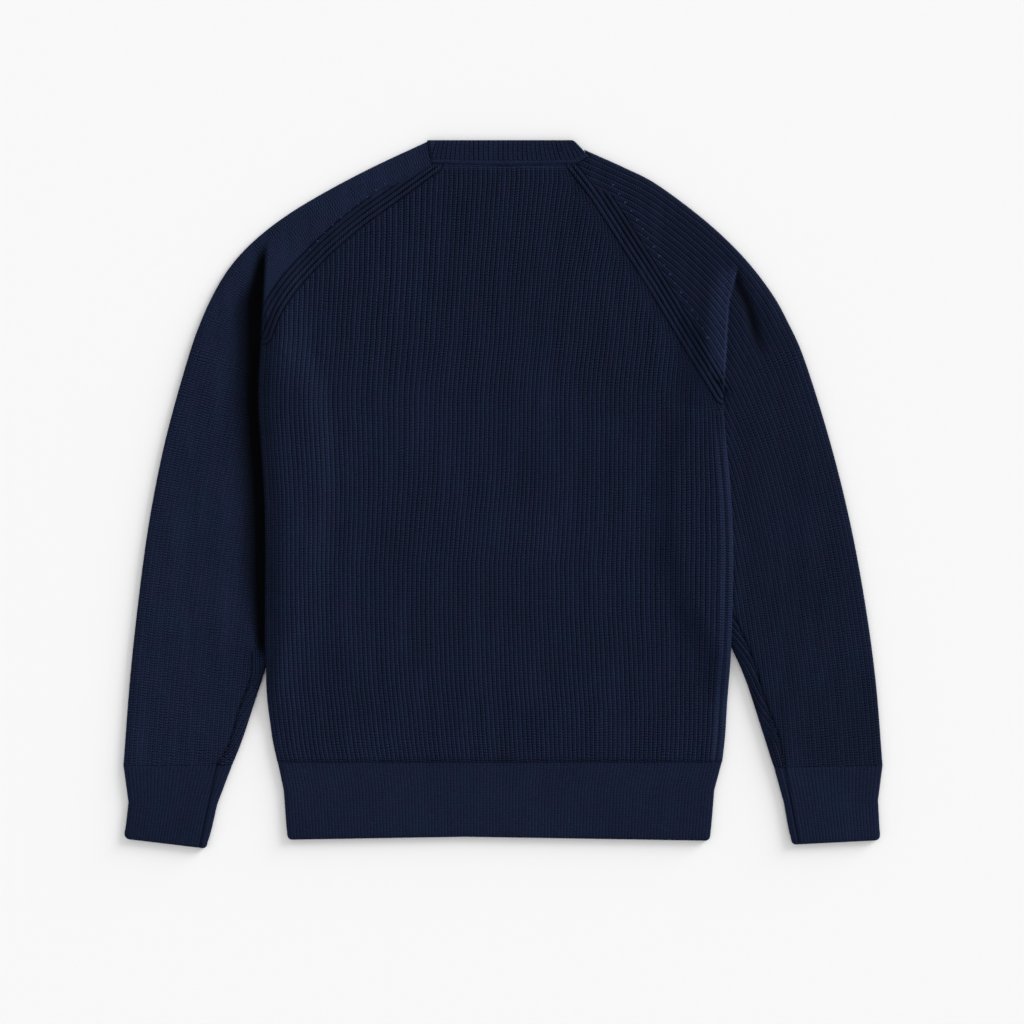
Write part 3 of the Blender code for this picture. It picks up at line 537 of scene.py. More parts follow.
class Shell:
    """The points, faces and knit values of one closed shell of cloth."""

    def __init__(self, name):
        self.name = name
        self.rows = []
        self.faces = []
        self.count = 0

    def grid(self, x, y, z, rib=0.0, row=0.0, ribbing=1.0, line=0.0, along=0.0, on_band=0.0,
             raised=0.0, painted_shading=0.0):
        """Add a grid of points with their knit values, and return their numbers in its layout."""
        values = (x, y, z, rib, row, ribbing, line, along, on_band, raised, painted_shading)
        spread = [np.broadcast_to(value, x.shape).ravel() for value in values]
        self.rows.append(np.column_stack(spread))
        numbers = np.arange(self.count, self.count + x.size).reshape(x.shape)
        self.count += x.size
        return numbers

    def skin(self, numbers, closed=False):
        """Cover a grid with quads, round to its first column when it is closed."""
        if closed:
            numbers = np.column_stack([numbers, numbers[:, 0]])
        corners = [numbers[:-1, :-1], numbers[:-1, 1:], numbers[1:, 1:], numbers[1:, :-1]]
        self.faces.extend(np.column_stack([corner.ravel() for corner in corners]).tolist())

    def shares(self, numbers):
        """How far along a row each of its points lies, from 0 to 1."""
        lengths = run_lengths(np.vstack(self.rows)[numbers, :3])
        return lengths / max(lengths[-1], 1e-9)

    def stitch(self, first, second):
        """Join two rows of points, which may differ in number, with a strip of triangles."""
        share_a, share_b = self.shares(first), self.shares(second)
        i = j = 0
        while i < len(first) - 1 or j < len(second) - 1:
            step_first = j == len(second) - 1
            if i < len(first) - 1 and j < len(second) - 1:
                step_first = share_a[i] + share_a[i + 1] <= share_b[j] + share_b[j + 1]
            corner = first[i + 1] if step_first else second[j + 1]
            self.faces.append([int(first[i]), int(corner), int(second[j])])
            i, j = (i + 1, j) if step_first else (i, j + 1)

    def close(self, outer, inner):
        """Cover two grids that lie on each other and join them round their rims."""
        self.skin(outer)
        self.skin(inner)
        for rim in (np.s_[0], np.s_[-1], np.s_[:, 0], np.s_[:, -1]):
            self.stitch(outer[rim], inner[rim])

    def build(self):
        """Make the base object, with its faces pointing out and its knit values and painted shading
        stored on it.
        """
        table = np.vstack(self.rows)
        mesh = bpy.data.meshes.new(self.name)
        mesh.from_pydata((table[:, :3] * MM).tolist(), [], self.faces)
        shape = bmesh.new()
        shape.from_mesh(mesh)
        bmesh.ops.recalc_face_normals(shape, faces=shape.faces)
        shape.to_mesh(mesh)
        shape.free()
        for name, columns in (("knit", table[:, 3:6]), ("seam", table[:, 6:9])):
            layer = mesh.attributes.new(name, "FLOAT_VECTOR", "POINT")
            layer.data.foreach_set("vector", columns.ravel())
        # painted_shading: painted shade above zero, painted highlight below zero
        for name, column in (("raised", table[:, 9]), ("painted_shading", table[:, 10])):
            layer = mesh.attributes.new(name, "FLOAT", "POINT")
            layer.data.foreach_set("value", column.ravel())
        mesh.shade_smooth()
        return placed(self.name, mesh)


def placed(name, data):
    """A new object with its mesh, lamp or lens, put in the scene at the origin."""
    piece = bpy.data.objects.new(name, data)
    bpy.context.scene.collection.objects.link(piece)
    return piece


class Sum:
    """One number socket of a node tree, so that maths on it is written as an expression."""

    def __init__(self, tree, socket):
        self.tree = tree
        self.socket = socket

    def join(self, operation, *values):
        return self.tree.add("ShaderNodeMath", {"operation": operation}, *values)

    def __add__(self, other):
        return self.join("ADD", self, other)

    def __radd__(self, other):
        return self.join("ADD", other, self)

    def __sub__(self, other):
        return self.join("SUBTRACT", self, other)

    def __rsub__(self, other):
        return self.join("SUBTRACT", other, self)

    def __mul__(self, other):
        return self.join("MULTIPLY", self, other)

    def __rmul__(self, other):
        return self.join("MULTIPLY", other, self)

    def __truediv__(self, other):
        return self.join("DIVIDE", self, other)

    def __pow__(self, other):
        return self.join("POWER", self, other)

    def __abs__(self):
        return self.join("ABSOLUTE", self)

    def wave(self):
        """0 at each whole number and 1 halfway between them."""
        return abs(self.join("SINE", self * math.pi))

    def fraction(self):
        return self.join("FRACT", self)

    def at_least(self, other):
        return self.join("MAXIMUM", self, other)

    def at_most(self, other):
        return self.join("MINIMUM", self, other)

    def share_of(self, full):
        """The number as a share of a full value, 1 from there on."""
        return (self / full).at_most(1.0)


class Tree:
    """Adds nodes to a material's or a shape's node tree."""

    def __init__(self, nodes):
        self.nodes = nodes

    def feed(self, node, sockets):
        """Set or link the sockets of a node, each given by its number or name."""
        for place, value in sockets.items():
            if isinstance(value, Sum):
                self.nodes.links.new(value.socket, node.inputs[place])
            elif value is not None:
                node.inputs[place].default_value = value

    def add(self, kind, settings=None, *values, out=0, **named):
        """Add one node: its settings first, then the values or links of its sockets."""
        node = self.nodes.nodes.new(kind)
        for key, value in (settings or {}).items():
            setattr(node, key, value)
        self.feed(node, dict(enumerate(values)))
        self.feed(node, {name.replace("_", " "): value for name, value in named.items()})
        return Sum(self, node.outputs[out])

    def parts(self, vector):
        """The three numbers of a vector."""
        first = self.add("ShaderNodeSeparateXYZ", None, vector)
        return [Sum(self, output) for output in first.socket.node.outputs]

    def noise(self, place, scale, detail, roughness=0.5):
        """Soft noise between 0 and 1."""
        return self.add("ShaderNodeTexNoise", None, Vector=place, Scale=scale, Detail=detail,
                        Roughness=roughness)


def shape_tree(name, inputs):
    """An empty Geometry Nodes tree with named inputs, and its input sockets by name."""
    nodes = bpy.data.node_groups.new(name, "GeometryNodeTree")
    face = nodes.interface
    face.new_socket("Geometry", in_out="INPUT", socket_type="NodeSocketGeometry")
    for label, kind, value in inputs + [("Material", "Material", None)]:
        socket = face.new_socket(label, in_out="INPUT", socket_type="NodeSocket" + kind)
        if value is not None:
            socket.default_value = value
    face.new_socket("Geometry", in_out="OUTPUT", socket_type="NodeSocketGeometry")
    tree = Tree(nodes)
    start = nodes.nodes.new("NodeGroupInput")
    given = {socket.name: Sum(tree, socket) for socket in start.outputs if socket.name}
    return tree, given


def finish_shape(tree, geometry, material):
    """End a shape tree in plain mesh with its material."""
    real = tree.add("GeometryNodeRealizeInstances", None, geometry)
    finished = tree.add("GeometryNodeSetMaterial", None, real, Material=material)
    tree.feed(tree.nodes.nodes.new("NodeGroupOutput"), {0: finished})
    return tree.nodes


# Noise that makes the raised ribs uneven and lets them wander sideways
BROAD_UNEVENNESS = {"Scale": 38.0, "Detail": 2.0}
RIB_WANDER = {"Scale": 120.0, "Detail": 1.0}
WANDER_SEED = 5.0


def raised_ribs_tree():
    """Raises the ribs and the lines beside the seams, with a slight unevenness."""
    tree, given = shape_tree("raised_ribs", [
        ("Rib Height", "Float", 0.0008), ("Roundness", "Float", 0.7),
        ("Line Height", "Float", 0.0009), ("Unevenness", "Float", 0.0003),
        ("Wander", "Float", 0.0004), ("Seed", "Float", 3.0)])
    knit, seam, raised = [
        tree.add("GeometryNodeInputNamedAttribute", {"data_type": kind}, name)
        for name, kind in (("knit", "FLOAT_VECTOR"), ("seam", "FLOAT_VECTOR"), ("raised", "FLOAT"))]
    rib = tree.parts(knit)[0]
    line, _, on_band = tree.parts(seam)
    ribs, lines = [
        (number.wave() ** given["Roundness"] * 2.0 - 1.0) * given[height]
        for number, height in ((rib, "Rib Height"), (line, "Line Height"))]
    relief = ribs * (1.0 - on_band) + lines * on_band
    place = tree.add("GeometryNodeInputPosition")
    broad, wave = [
        tree.add("ShaderNodeTexNoise", {"noise_dimensions": "4D"}, Vector=place, W=seed, **grain)
        for seed, grain in ((given["Seed"], BROAD_UNEVENNESS),
                            (given["Seed"] + WANDER_SEED, RIB_WANDER))]
    height = (relief + (broad - 0.5) * given["Unevenness"]) * raised
    aside = (wave - 0.5) * given["Wander"] * raised * (1.0 - on_band)
    offset = tree.add("ShaderNodeCombineXYZ", None, aside, 0.0, height)
    moved = tree.add("GeometryNodeSetPosition", None, given["Geometry"], Offset=offset)
    return finish_shape(tree, moved, given["Material"])


# Loops of the stitch lines: how fine they are, and how much they differ in size
LOOP_SEGMENTS = 8
LOOP_RINGS = 5
SMALLEST_LOOP = 0.85
LARGEST_LOOP = 1.15


def stitch_line_tree():
    """Lays a chain of slanted loops along a line, as linking stitches and fashioning marks."""
    tree, given = shape_tree("stitch_line", [
        ("Spacing", "Float", 0.0026), ("Loop Length", "Float", 0.0015),
        ("Loop Width", "Float", 0.0006), ("Loop Height", "Float", 0.0005),
        ("Slant", "Float", 0.5), ("Apart", "Float", 0.0006), ("Seed", "Int", 4)])
    loop = tree.add("GeometryNodeJoinGeometry")
    for way in (1.0, -1.0):
        ball = tree.add("GeometryNodeMeshUVSphere", None, LOOP_SEGMENTS, LOOP_RINGS, 1.0)
        size = tree.add("ShaderNodeCombineXYZ", None, given["Loop Length"], given["Loop Width"],
                        given["Loop Height"])
        turn = tree.add("ShaderNodeCombineXYZ", None, 0.0, 0.0, given["Slant"] * way)
        shift = tree.add("ShaderNodeCombineXYZ", None, 0.0, given["Apart"] * way, 0.0)
        leg = tree.add("GeometryNodeTransform", None, ball, Translation=shift, Rotation=turn,
                       Scale=size)
        tree.feed(loop.socket.node, {0: leg})
    line = tree.add("GeometryNodeMeshToCurve", None, given["Geometry"])
    beads = tree.add("GeometryNodeCurveToPoints", {"mode": "LENGTH"}, line,
                     Length=given["Spacing"])
    tangent = Sum(tree, beads.socket.node.outputs["Tangent"])
    aim = tree.add("FunctionNodeAlignRotationToVector", {"axis": "X", "pivot_axis": "Z"},
                   Vector=tangent)
    chance = tree.add("FunctionNodeRandomValue", {"data_type": "FLOAT"}, None, None,
                      SMALLEST_LOOP, LARGEST_LOOP, out=1, Seed=given["Seed"])
    scale = tree.add("ShaderNodeCombineXYZ", None, chance, chance, chance)
    chain = tree.add("GeometryNodeInstanceOnPoints", None, beads, Instance=loop, Rotation=aim,
                     Scale=scale)
    return finish_shape(tree, chain, given["Material"])


def grow(base, group, **values):
    """Run a shape tree on a base object, and return the plain mesh piece that it makes."""
    modifier = base.modifiers.new("shape", "NODES")
    modifier.node_group = group
    names = {item.name: item.identifier for item in group.interface.items_tree
             if item.in_out == "INPUT"}
    for label, value in values.items():
        modifier[names[label.replace("_", " ")]] = value
    name = base.name
    base.update_tag()
    seen = base.evaluated_get(bpy.context.evaluated_depsgraph_get())
    mesh = bpy.data.meshes.new_from_object(seen)
    base.modifiers.remove(modifier)
    old = base.data
    bpy.data.objects.remove(base, do_unlink=True)
    bpy.data.meshes.remove(old)
    mesh.name = name
    mesh.shade_smooth()
    return placed(name, mesh)


# Wool: two dye casts of the navy, and the tint of its sheen
NAVY_TEAL = (0.0088, 0.0176, 0.0430, 1.0)
NAVY_VIOLET = (0.0122, 0.0154, 0.0430, 1.0)
NAVY_TINT = (0.30, 0.42, 0.85, 1.0)
WOOL_NOISE = [
    # scale, detail and roughness of the rows' waver, the fibre, the broad dye, the yarn, the cast
    (75.0, 2.0, 0.5), (2600.0, 3.0, 0.7), (11.0, 3.0, 0.55), (420.0, 2.0, 0.6), (52.0, 2.0, 0.5),
]
UNEVEN_NOISE = (110.0, 2.0)
ALONG_RIBS = (1.0, 0.12, 1.0)
UNEVEN_LEAST = 0.05
UNEVEN_RANGE = 1.9
ROW_WAVER = 1.8
LEG_SLANT = 0.4
ROW_WIDTH = 0.75
LEG_WIDTH = 0.26
# The lines beside the raglan seams: how strong, how much wider and with how much more of the rows
BAND_STRENGTH = 1.2
BAND_GROOVE = 0.25
BAND_ROWS = 0.5
# Darkest painted shade in a groove and between the stitches
DEEPEST_GROOVE = 0.95
DEEPEST_STITCH = 0.85
DYE_RANGE = (0.82, 0.36)
YARN_RANGE = (0.60, 0.80)
ROUGH_RANGE = (0.84, 0.14)
CAST_CONTRAST = 1.6
# Bump: the width of a groove's flank, its strength on raised and flat ribs, and that of the rest
FLANK = 0.5
RAISED_BUMP = 0.35
FLAT_BUMP = 0.5
LEG_BUMP = 0.5
FIBRE_BUMP = 0.10
YARN_BUMP = 0.14
BUMP_STRENGTH = 0.8
BUMP_DEPTH = 0.0008


def knit_finish(name, tone_and_painted_light, groove_share, groove_depth, row_depth, leg_depth, stitch_bump, sheen):
    """Navy wool: painted shade in the grooves between ribs and between rows of stitches in two
    legs, fibre and a soft sheen.
    """
    material = bpy.data.materials.new(name)
    material.use_nodes = True
    tree = Tree(material.node_tree)
    knit, seam = [tree.add("ShaderNodeAttribute", {"attribute_name": key}, out="Vector")
                  for key in ("knit", "seam")]
    raised, painted_shading = [tree.add("ShaderNodeAttribute", {"attribute_name": key}, out="Fac")
                      for key in ("raised", "painted_shading")]
    rib, row, contrast = tree.parts(knit)
    line, along, on_band = tree.parts(seam)
    off_band = 1.0 - on_band
    place = tree.add("ShaderNodeTexCoord", out="Object")
    waver, fibre, dye, yarn, cast = [tree.noise(place, *grain) for grain in WOOL_NOISE]
    stretched = tree.add("ShaderNodeVectorMath", {"operation": "MULTIPLY"}, place, ALONG_RIBS)
    uneven = UNEVEN_LEAST + tree.noise(stretched, *UNEVEN_NOISE) * UNEVEN_RANGE

    crest = rib.wave() * off_band + line.wave() * on_band
    across = rib.fraction() * off_band + line.fraction() * on_band
    from_middle = abs(across - 0.5) * 2.0
    course = row * off_band + along * on_band + (waver - 0.5) * ROW_WAVER
    loop = (course + from_middle * LEG_SLANT).wave()
    between_legs = 1.0 - from_middle.share_of(LEG_WIDTH)
    strength = contrast * off_band + on_band * BAND_STRENGTH
    # Painted shade: the wool is darker in the grooves between ribs and in the gaps between rows and
    # legs of the stitches
    groove = 1.0 - crest.share_of(groove_share + on_band * BAND_GROOVE)
    groove = groove * groove_depth * uneven * strength
    stitches = (1.0 - loop.share_of(ROW_WIDTH)) * row_depth * uneven * (1.0 + on_band * BAND_ROWS)
    stitches = stitches + between_legs * leg_depth * strength * off_band
    painted_shade_and_dye = (1.0 - groove.at_most(DEEPEST_GROOVE)) * (1.0 - stitches.at_most(DEEPEST_STITCH))
    for grain, (least, extent) in ((dye, DYE_RANGE), (yarn, YARN_RANGE)):
        painted_shade_and_dye = painted_shade_and_dye * (least + grain * extent)
    colour = tree.add("ShaderNodeMix", {"data_type": "RGBA"}, out=2)
    blend = ((cast - 0.5) * CAST_CONTRAST + 0.5).at_least(0.0).at_most(1.0)
    tree.feed(colour.socket.node, {0: blend, 6: NAVY_TEAL, 7: NAVY_VIOLET})
    # The wool is darkened by painted_shading for painted shade, and lightened where it is below
    # zero for painted highlights
    wool = tree.add("ShaderNodeVectorMath", {"operation": "SCALE"}, colour,
                    Scale=painted_shade_and_dye * (1.0 - painted_shading) * tone_and_painted_light)

    flat_part = (1.0 - raised).at_least(0.0)
    height = crest.share_of(FLANK) * strength * (RAISED_BUMP + flat_part * FLAT_BUMP)
    height = height + (loop - between_legs * LEG_BUMP) * stitch_bump
    height = height + fibre * FIBRE_BUMP + yarn * YARN_BUMP
    bump = tree.add("ShaderNodeBump", None, Height=height, Strength=BUMP_STRENGTH,
                    Distance=BUMP_DEPTH)
    tree.feed(material.node_tree.nodes["Principled BSDF"], {
        "Base Color": wool, "Roughness": ROUGH_RANGE[0] + fibre * ROUGH_RANGE[1], "Normal": bump,
        "Metallic": 0.0, "Specular IOR Level": 0.05, "Sheen Weight": sheen,
        "Sheen Roughness": 0.45, "Sheen Tint": NAVY_TINT})
    return material


RIB_KNIT, LEFT_KNIT_PAINTED_LIGHTER, RIGHT_KNIT_PAINTED_DARKER, FINE_KNIT, NECK_KNIT, MARK_WOOL = [knit_finish(*look) for look in (
    # name, tone (on the sleeves painted light: the left painted lighter, the right darker), share
    # and depth of the grooves, depth of rows and legs, stitch bump, sheen
    ("navy_rib_knit", 0.96, 0.40, 0.88, 0.80, 0.70, 0.5, 0.02),
    ("navy_left_sleeve_knit_painted_lighter", 1.0, 0.42, 0.95, 0.85, 0.75, 0.5, 0.025),
    ("navy_right_sleeve_knit_painted_darker", 0.80, 0.40, 0.92, 0.80, 0.7, 0.5, 0.02),
    ("navy_fine_rib", 0.78, 0.5, 0.25, 0.25, 0.10, 0.3, 0.02),
    ("navy_neck_rib", 0.86, 0.52, 0.95, 0.25, 0.25, 0.4, 0.02),
    ("navy_mark_wool", 2.2, 0.45, 0.0, 0.0, 0.0, 0.2, 0.03),
)]
KNITTING = {
    # wool, height of ribs and seam lines, roundness, unevenness, wander, seed; lengths in mm
    "back_knit": (RIB_KNIT, 0.7, 1.05, 0.5, 0.7, 1.1, 3.0),
    "front_knit": (RIB_KNIT, 0.0, 0.0, 1.0, 0.0, 0.0, 1.0),
    "sleeve_left_knit": (LEFT_KNIT_PAINTED_LIGHTER, 0.5, 0.75, 0.5, 0.9, 0.7, 11.0),
    "sleeve_right_knit": (RIGHT_KNIT_PAINTED_DARKER, 0.5, 0.75, 0.5, 0.9, 0.7, 11.0),
    "hem_back_knit": (FINE_KNIT, 0.2, 0.0, 0.8, 0.4, 0.3, 5.0),
    "hem_front_knit": (FINE_KNIT, 0.0, 0.0, 1.0, 0.0, 0.0, 1.0),
    "cuff_left_knit": (FINE_KNIT, 0.2, 0.0, 0.8, 0.4, 0.3, 7.0),
    "cuff_right_knit": (FINE_KNIT, 0.2, 0.0, 0.8, 0.4, 0.3, 7.0),
    "neckband_knit": (NECK_KNIT, 0.45, 0.0, 0.5, 0.2, 0.2, 9.0),
}
RAISED_RIBS = raised_ribs_tree()
STITCH_LINE = stitch_line_tree()


def knitted(shell):
    """Build a shell, raise its ribs and give it its wool."""
    wool, height, line_height, roundness, unevenness, wander, seed = KNITTING[shell.name]
    return grow(shell.build(), RAISED_RIBS, Rib_Height=height * MM, Line_Height=line_height * MM,
                Roundness=roundness, Unevenness=unevenness * MM, Wander=wander * MM, Seed=seed,
                Material=wool)


# The lines beside the raglan seams: how they blend into the ribs, in mm
BAND_BLEND_START = 0.6
BAND_BLEND = 1.6
BAND_ROWS_PAST = 1.8
CLOSE_ROWS = (13.2, 26.0, 1.6)


def raglan_band(x, y, reach):
    """Line number, way along and strength of the lines beside the raglan seams of a piece."""
    on_band = 1.0 - smoothstep((reach - BAND_WIDTH_BODY + BAND_BLEND_START) / BAND_BLEND)
    along = run_lengths(np.column_stack([x[0], y[0]])) / STITCH_ROW
    line = np.minimum(reach, BAND_WIDTH_BODY + 1.0) / BAND_LINE_PITCH
    return line, along[None, :] + 0.0 * x, on_band


# Looks of the back: the roll, the sides, and the ribs' contrast, which grows up the body from a
# height, over a length, and towards the right over a width; lengths in mm
ROLL_BLEND = 2.5
ROLL_PLAIN = 0.75
SIDE_CREASE_FADE = 30.0
SIDE_RELIEF_WIDTH = 16.0
SIDE_RELIEF = 0.45
CONTRAST_LOW = 0.6
CONTRAST_UP = (40.0, 220.0, 0.4)
CONTRAST_RIGHT = (200.0, 0.25)
NECK_ROW = 1.0
NECK_ROW_RELIEF = 0.25


def back_rib_values(x, y, rib, seam_right, on_roll):
    """Rib number, contrast and relief of the back, whose ribs hook towards the right raglan."""
    under_neck = smoothstep((NECK_SEAM - NECK_SAG - NECK_ROW - y) / LINKED_RIDGE)
    hook = HOOK_SHIFT * bell(seam_right - BAND_WIDTH_BODY, HOOK_REACH)
    rib = rib + hook / (HEM_WIDTH / BODY_RIBS) * (x > HOOK_START)
    start, length, gain = CONTRAST_UP
    contrast = CONTRAST_LOW + gain * smoothstep((y - start) / length)
    contrast = np.minimum(contrast + CONTRAST_RIGHT[1] * smoothstep(x / CONTRAST_RIGHT[0]), 1.0)
    near_left = smoothstep((x - x_at(LEFT_SIDE, y)) / SIDE_RELIEF_WIDTH)
    relief = (1.0 - on_roll) * (SIDE_RELIEF + (1.0 - SIDE_RELIEF) * near_left)
    relief = relief * (NECK_ROW_RELIEF + (1.0 - NECK_ROW_RELIEF) * under_neck)
    return rib, contrast * (1.0 - ROLL_PLAIN * on_roll) * under_neck, relief


def make_back():
    """Back panel, uppermost: ribs, lines beside the raglan seams and the rolled right side, with
    painted shade on its turned-down left edge and a painted highlight on the roll.
    """
    share = np.linspace(0.0, 1.0, RIB_POINTS * BODY_RIBS + 1)
    band_rows = np.arange(0.0, BAND_WIDTH_BODY + BAND_ROWS_PAST, BAND_ROW_STEP)
    offsets = np.concatenate([band_rows, np.arange(*CLOSE_ROWS)])
    x, y = body_plan(share, back_outline, offsets, BODY_ROWS)
    from_seam = {side: beside(SEAM[side], x, y)[0] for side in SEAM}
    band = raglan_band(x, y, np.minimum(from_seam["left"], from_seam["right"]))
    edge = rounding(side_distance(x, y), TOP_EDGE_ROUND)
    from_right = x_at(RIGHT_SIDE, y) - x
    rolled = smoothstep((ROLL_TOP + ROLL_FADE - y) / ROLL_FADE) * (y < UNDERARM["right"])
    on_roll = (1.0 - smoothstep((from_right - ROLL_WIDTH) / ROLL_BLEND)) * rolled
    groove = ROLL_GROOVE_DEPTH * bell(from_right - ROLL_GROOVE, ROLL_GROOVE_WIDTH) * rolled
    height = (UPPER_TOP - UPPER_BOTTOM - EDGE_LIP + ROLL_RISE * on_roll - groove) * edge
    height += crease_height(BODY_CREASES, x, y) * smoothstep(side_distance(x, y) / SIDE_CREASE_FADE)
    turned = 1.0 - smoothstep((x - x_at(LEFT_SIDE, y)) / LEFT_EDGE_ROUND)
    turned = turned * lift("left", x, y) / LIFT
    z = body_lift(x, y) + UPPER_BOTTOM + EDGE_LIP + height - LEFT_EDGE_DROP * turned * edge
    rib, contrast, relief = back_rib_values(x, y, share * BODY_RIBS, from_seam["right"], on_roll)
    shell = Shell("back_knit")
    # Painted shade on the turned-down left edge, less a painted highlight on the roll
    outer = shell.grid(x, y, z, rib, y / STITCH_ROW, contrast, *band, edge * relief,
                       LEFT_EDGE_PAINTED_SHADE * turned - ROLL_PAINTED_HIGHLIGHT * on_roll)
    rows = list(range(0, len(x), PLAIN_COLUMN_STEP)) + [len(x) - 1]
    last = len(share) - 1
    columns = set(range(0, len(share), PLAIN_COLUMN_STEP)) | {1, 2, 4}
    columns |= {last, last - 1, last - 2, last - 4}
    cells = np.ix_(sorted(set(rows)), sorted(columns))
    inner = shell.grid(x[cells], y[cells], body_lift(x[cells], y[cells]) + UPPER_BOTTOM,
                       rib[cells], y[cells] / STITCH_ROW)
    shell.close(outer, inner)
    return knitted(shell)


# Rows of the front panel: in mm below its top, and how many more down to the hem
FRONT_TOP_ROWS = np.array([0.0, 4.0, 9.0])
FRONT_ROWS = 46


def plain_shell(name, x, y, raised, edge, rib):
    """A lower layer of plain cloth, rounded up from the surface at its side edges."""
    shell = Shell(name)
    outer = shell.grid(x, y, raised + (LOWER_TOP - EDGE_LIP) * (1.0 - edge), rib, y / STITCH_ROW)
    inner = shell.grid(x, y, raised + LOWER_TOP, rib, y / STITCH_ROW)
    shell.close(outer, inner)
    return knitted(shell)


def make_front():
    """Front panel, underneath, with its flat face on the surface."""
    share = np.linspace(0.0, 1.0, 2 * BODY_RIBS + 1)
    x, y = body_plan(share, front_outline, FRONT_TOP_ROWS, FRONT_ROWS)
    edge = rounding(side_distance(x, y), FLOOR_EDGE_ROUND)
    return plain_shell("front_knit", x, y, body_lift(x, y), edge, share * BODY_RIBS)


# Rows of points on a sleeve, in mm: on the band, on both sides of the fold and at the cuff end
SLEEVE_BAND_ROWS = np.concatenate([[0.0, 0.25], np.arange(BAND_ROW_STEP, 13.2, BAND_ROW_STEP)])
FOLD_ROWS = np.array([-4.0, -2.8, -1.8, -1.0, -0.4, 0.2, 0.8, 1.6, 2.6, 4.0, 6.0])
END_ROWS = (5.0, 3.0, 1.5, 0.6, 0.0)
CAP_ROWS = 34
SLEEVE_ROWS = 92
BAND_SPAN = 10.0
BAND_CLOSE = 0.9
STRETCH_PAST = 1.3


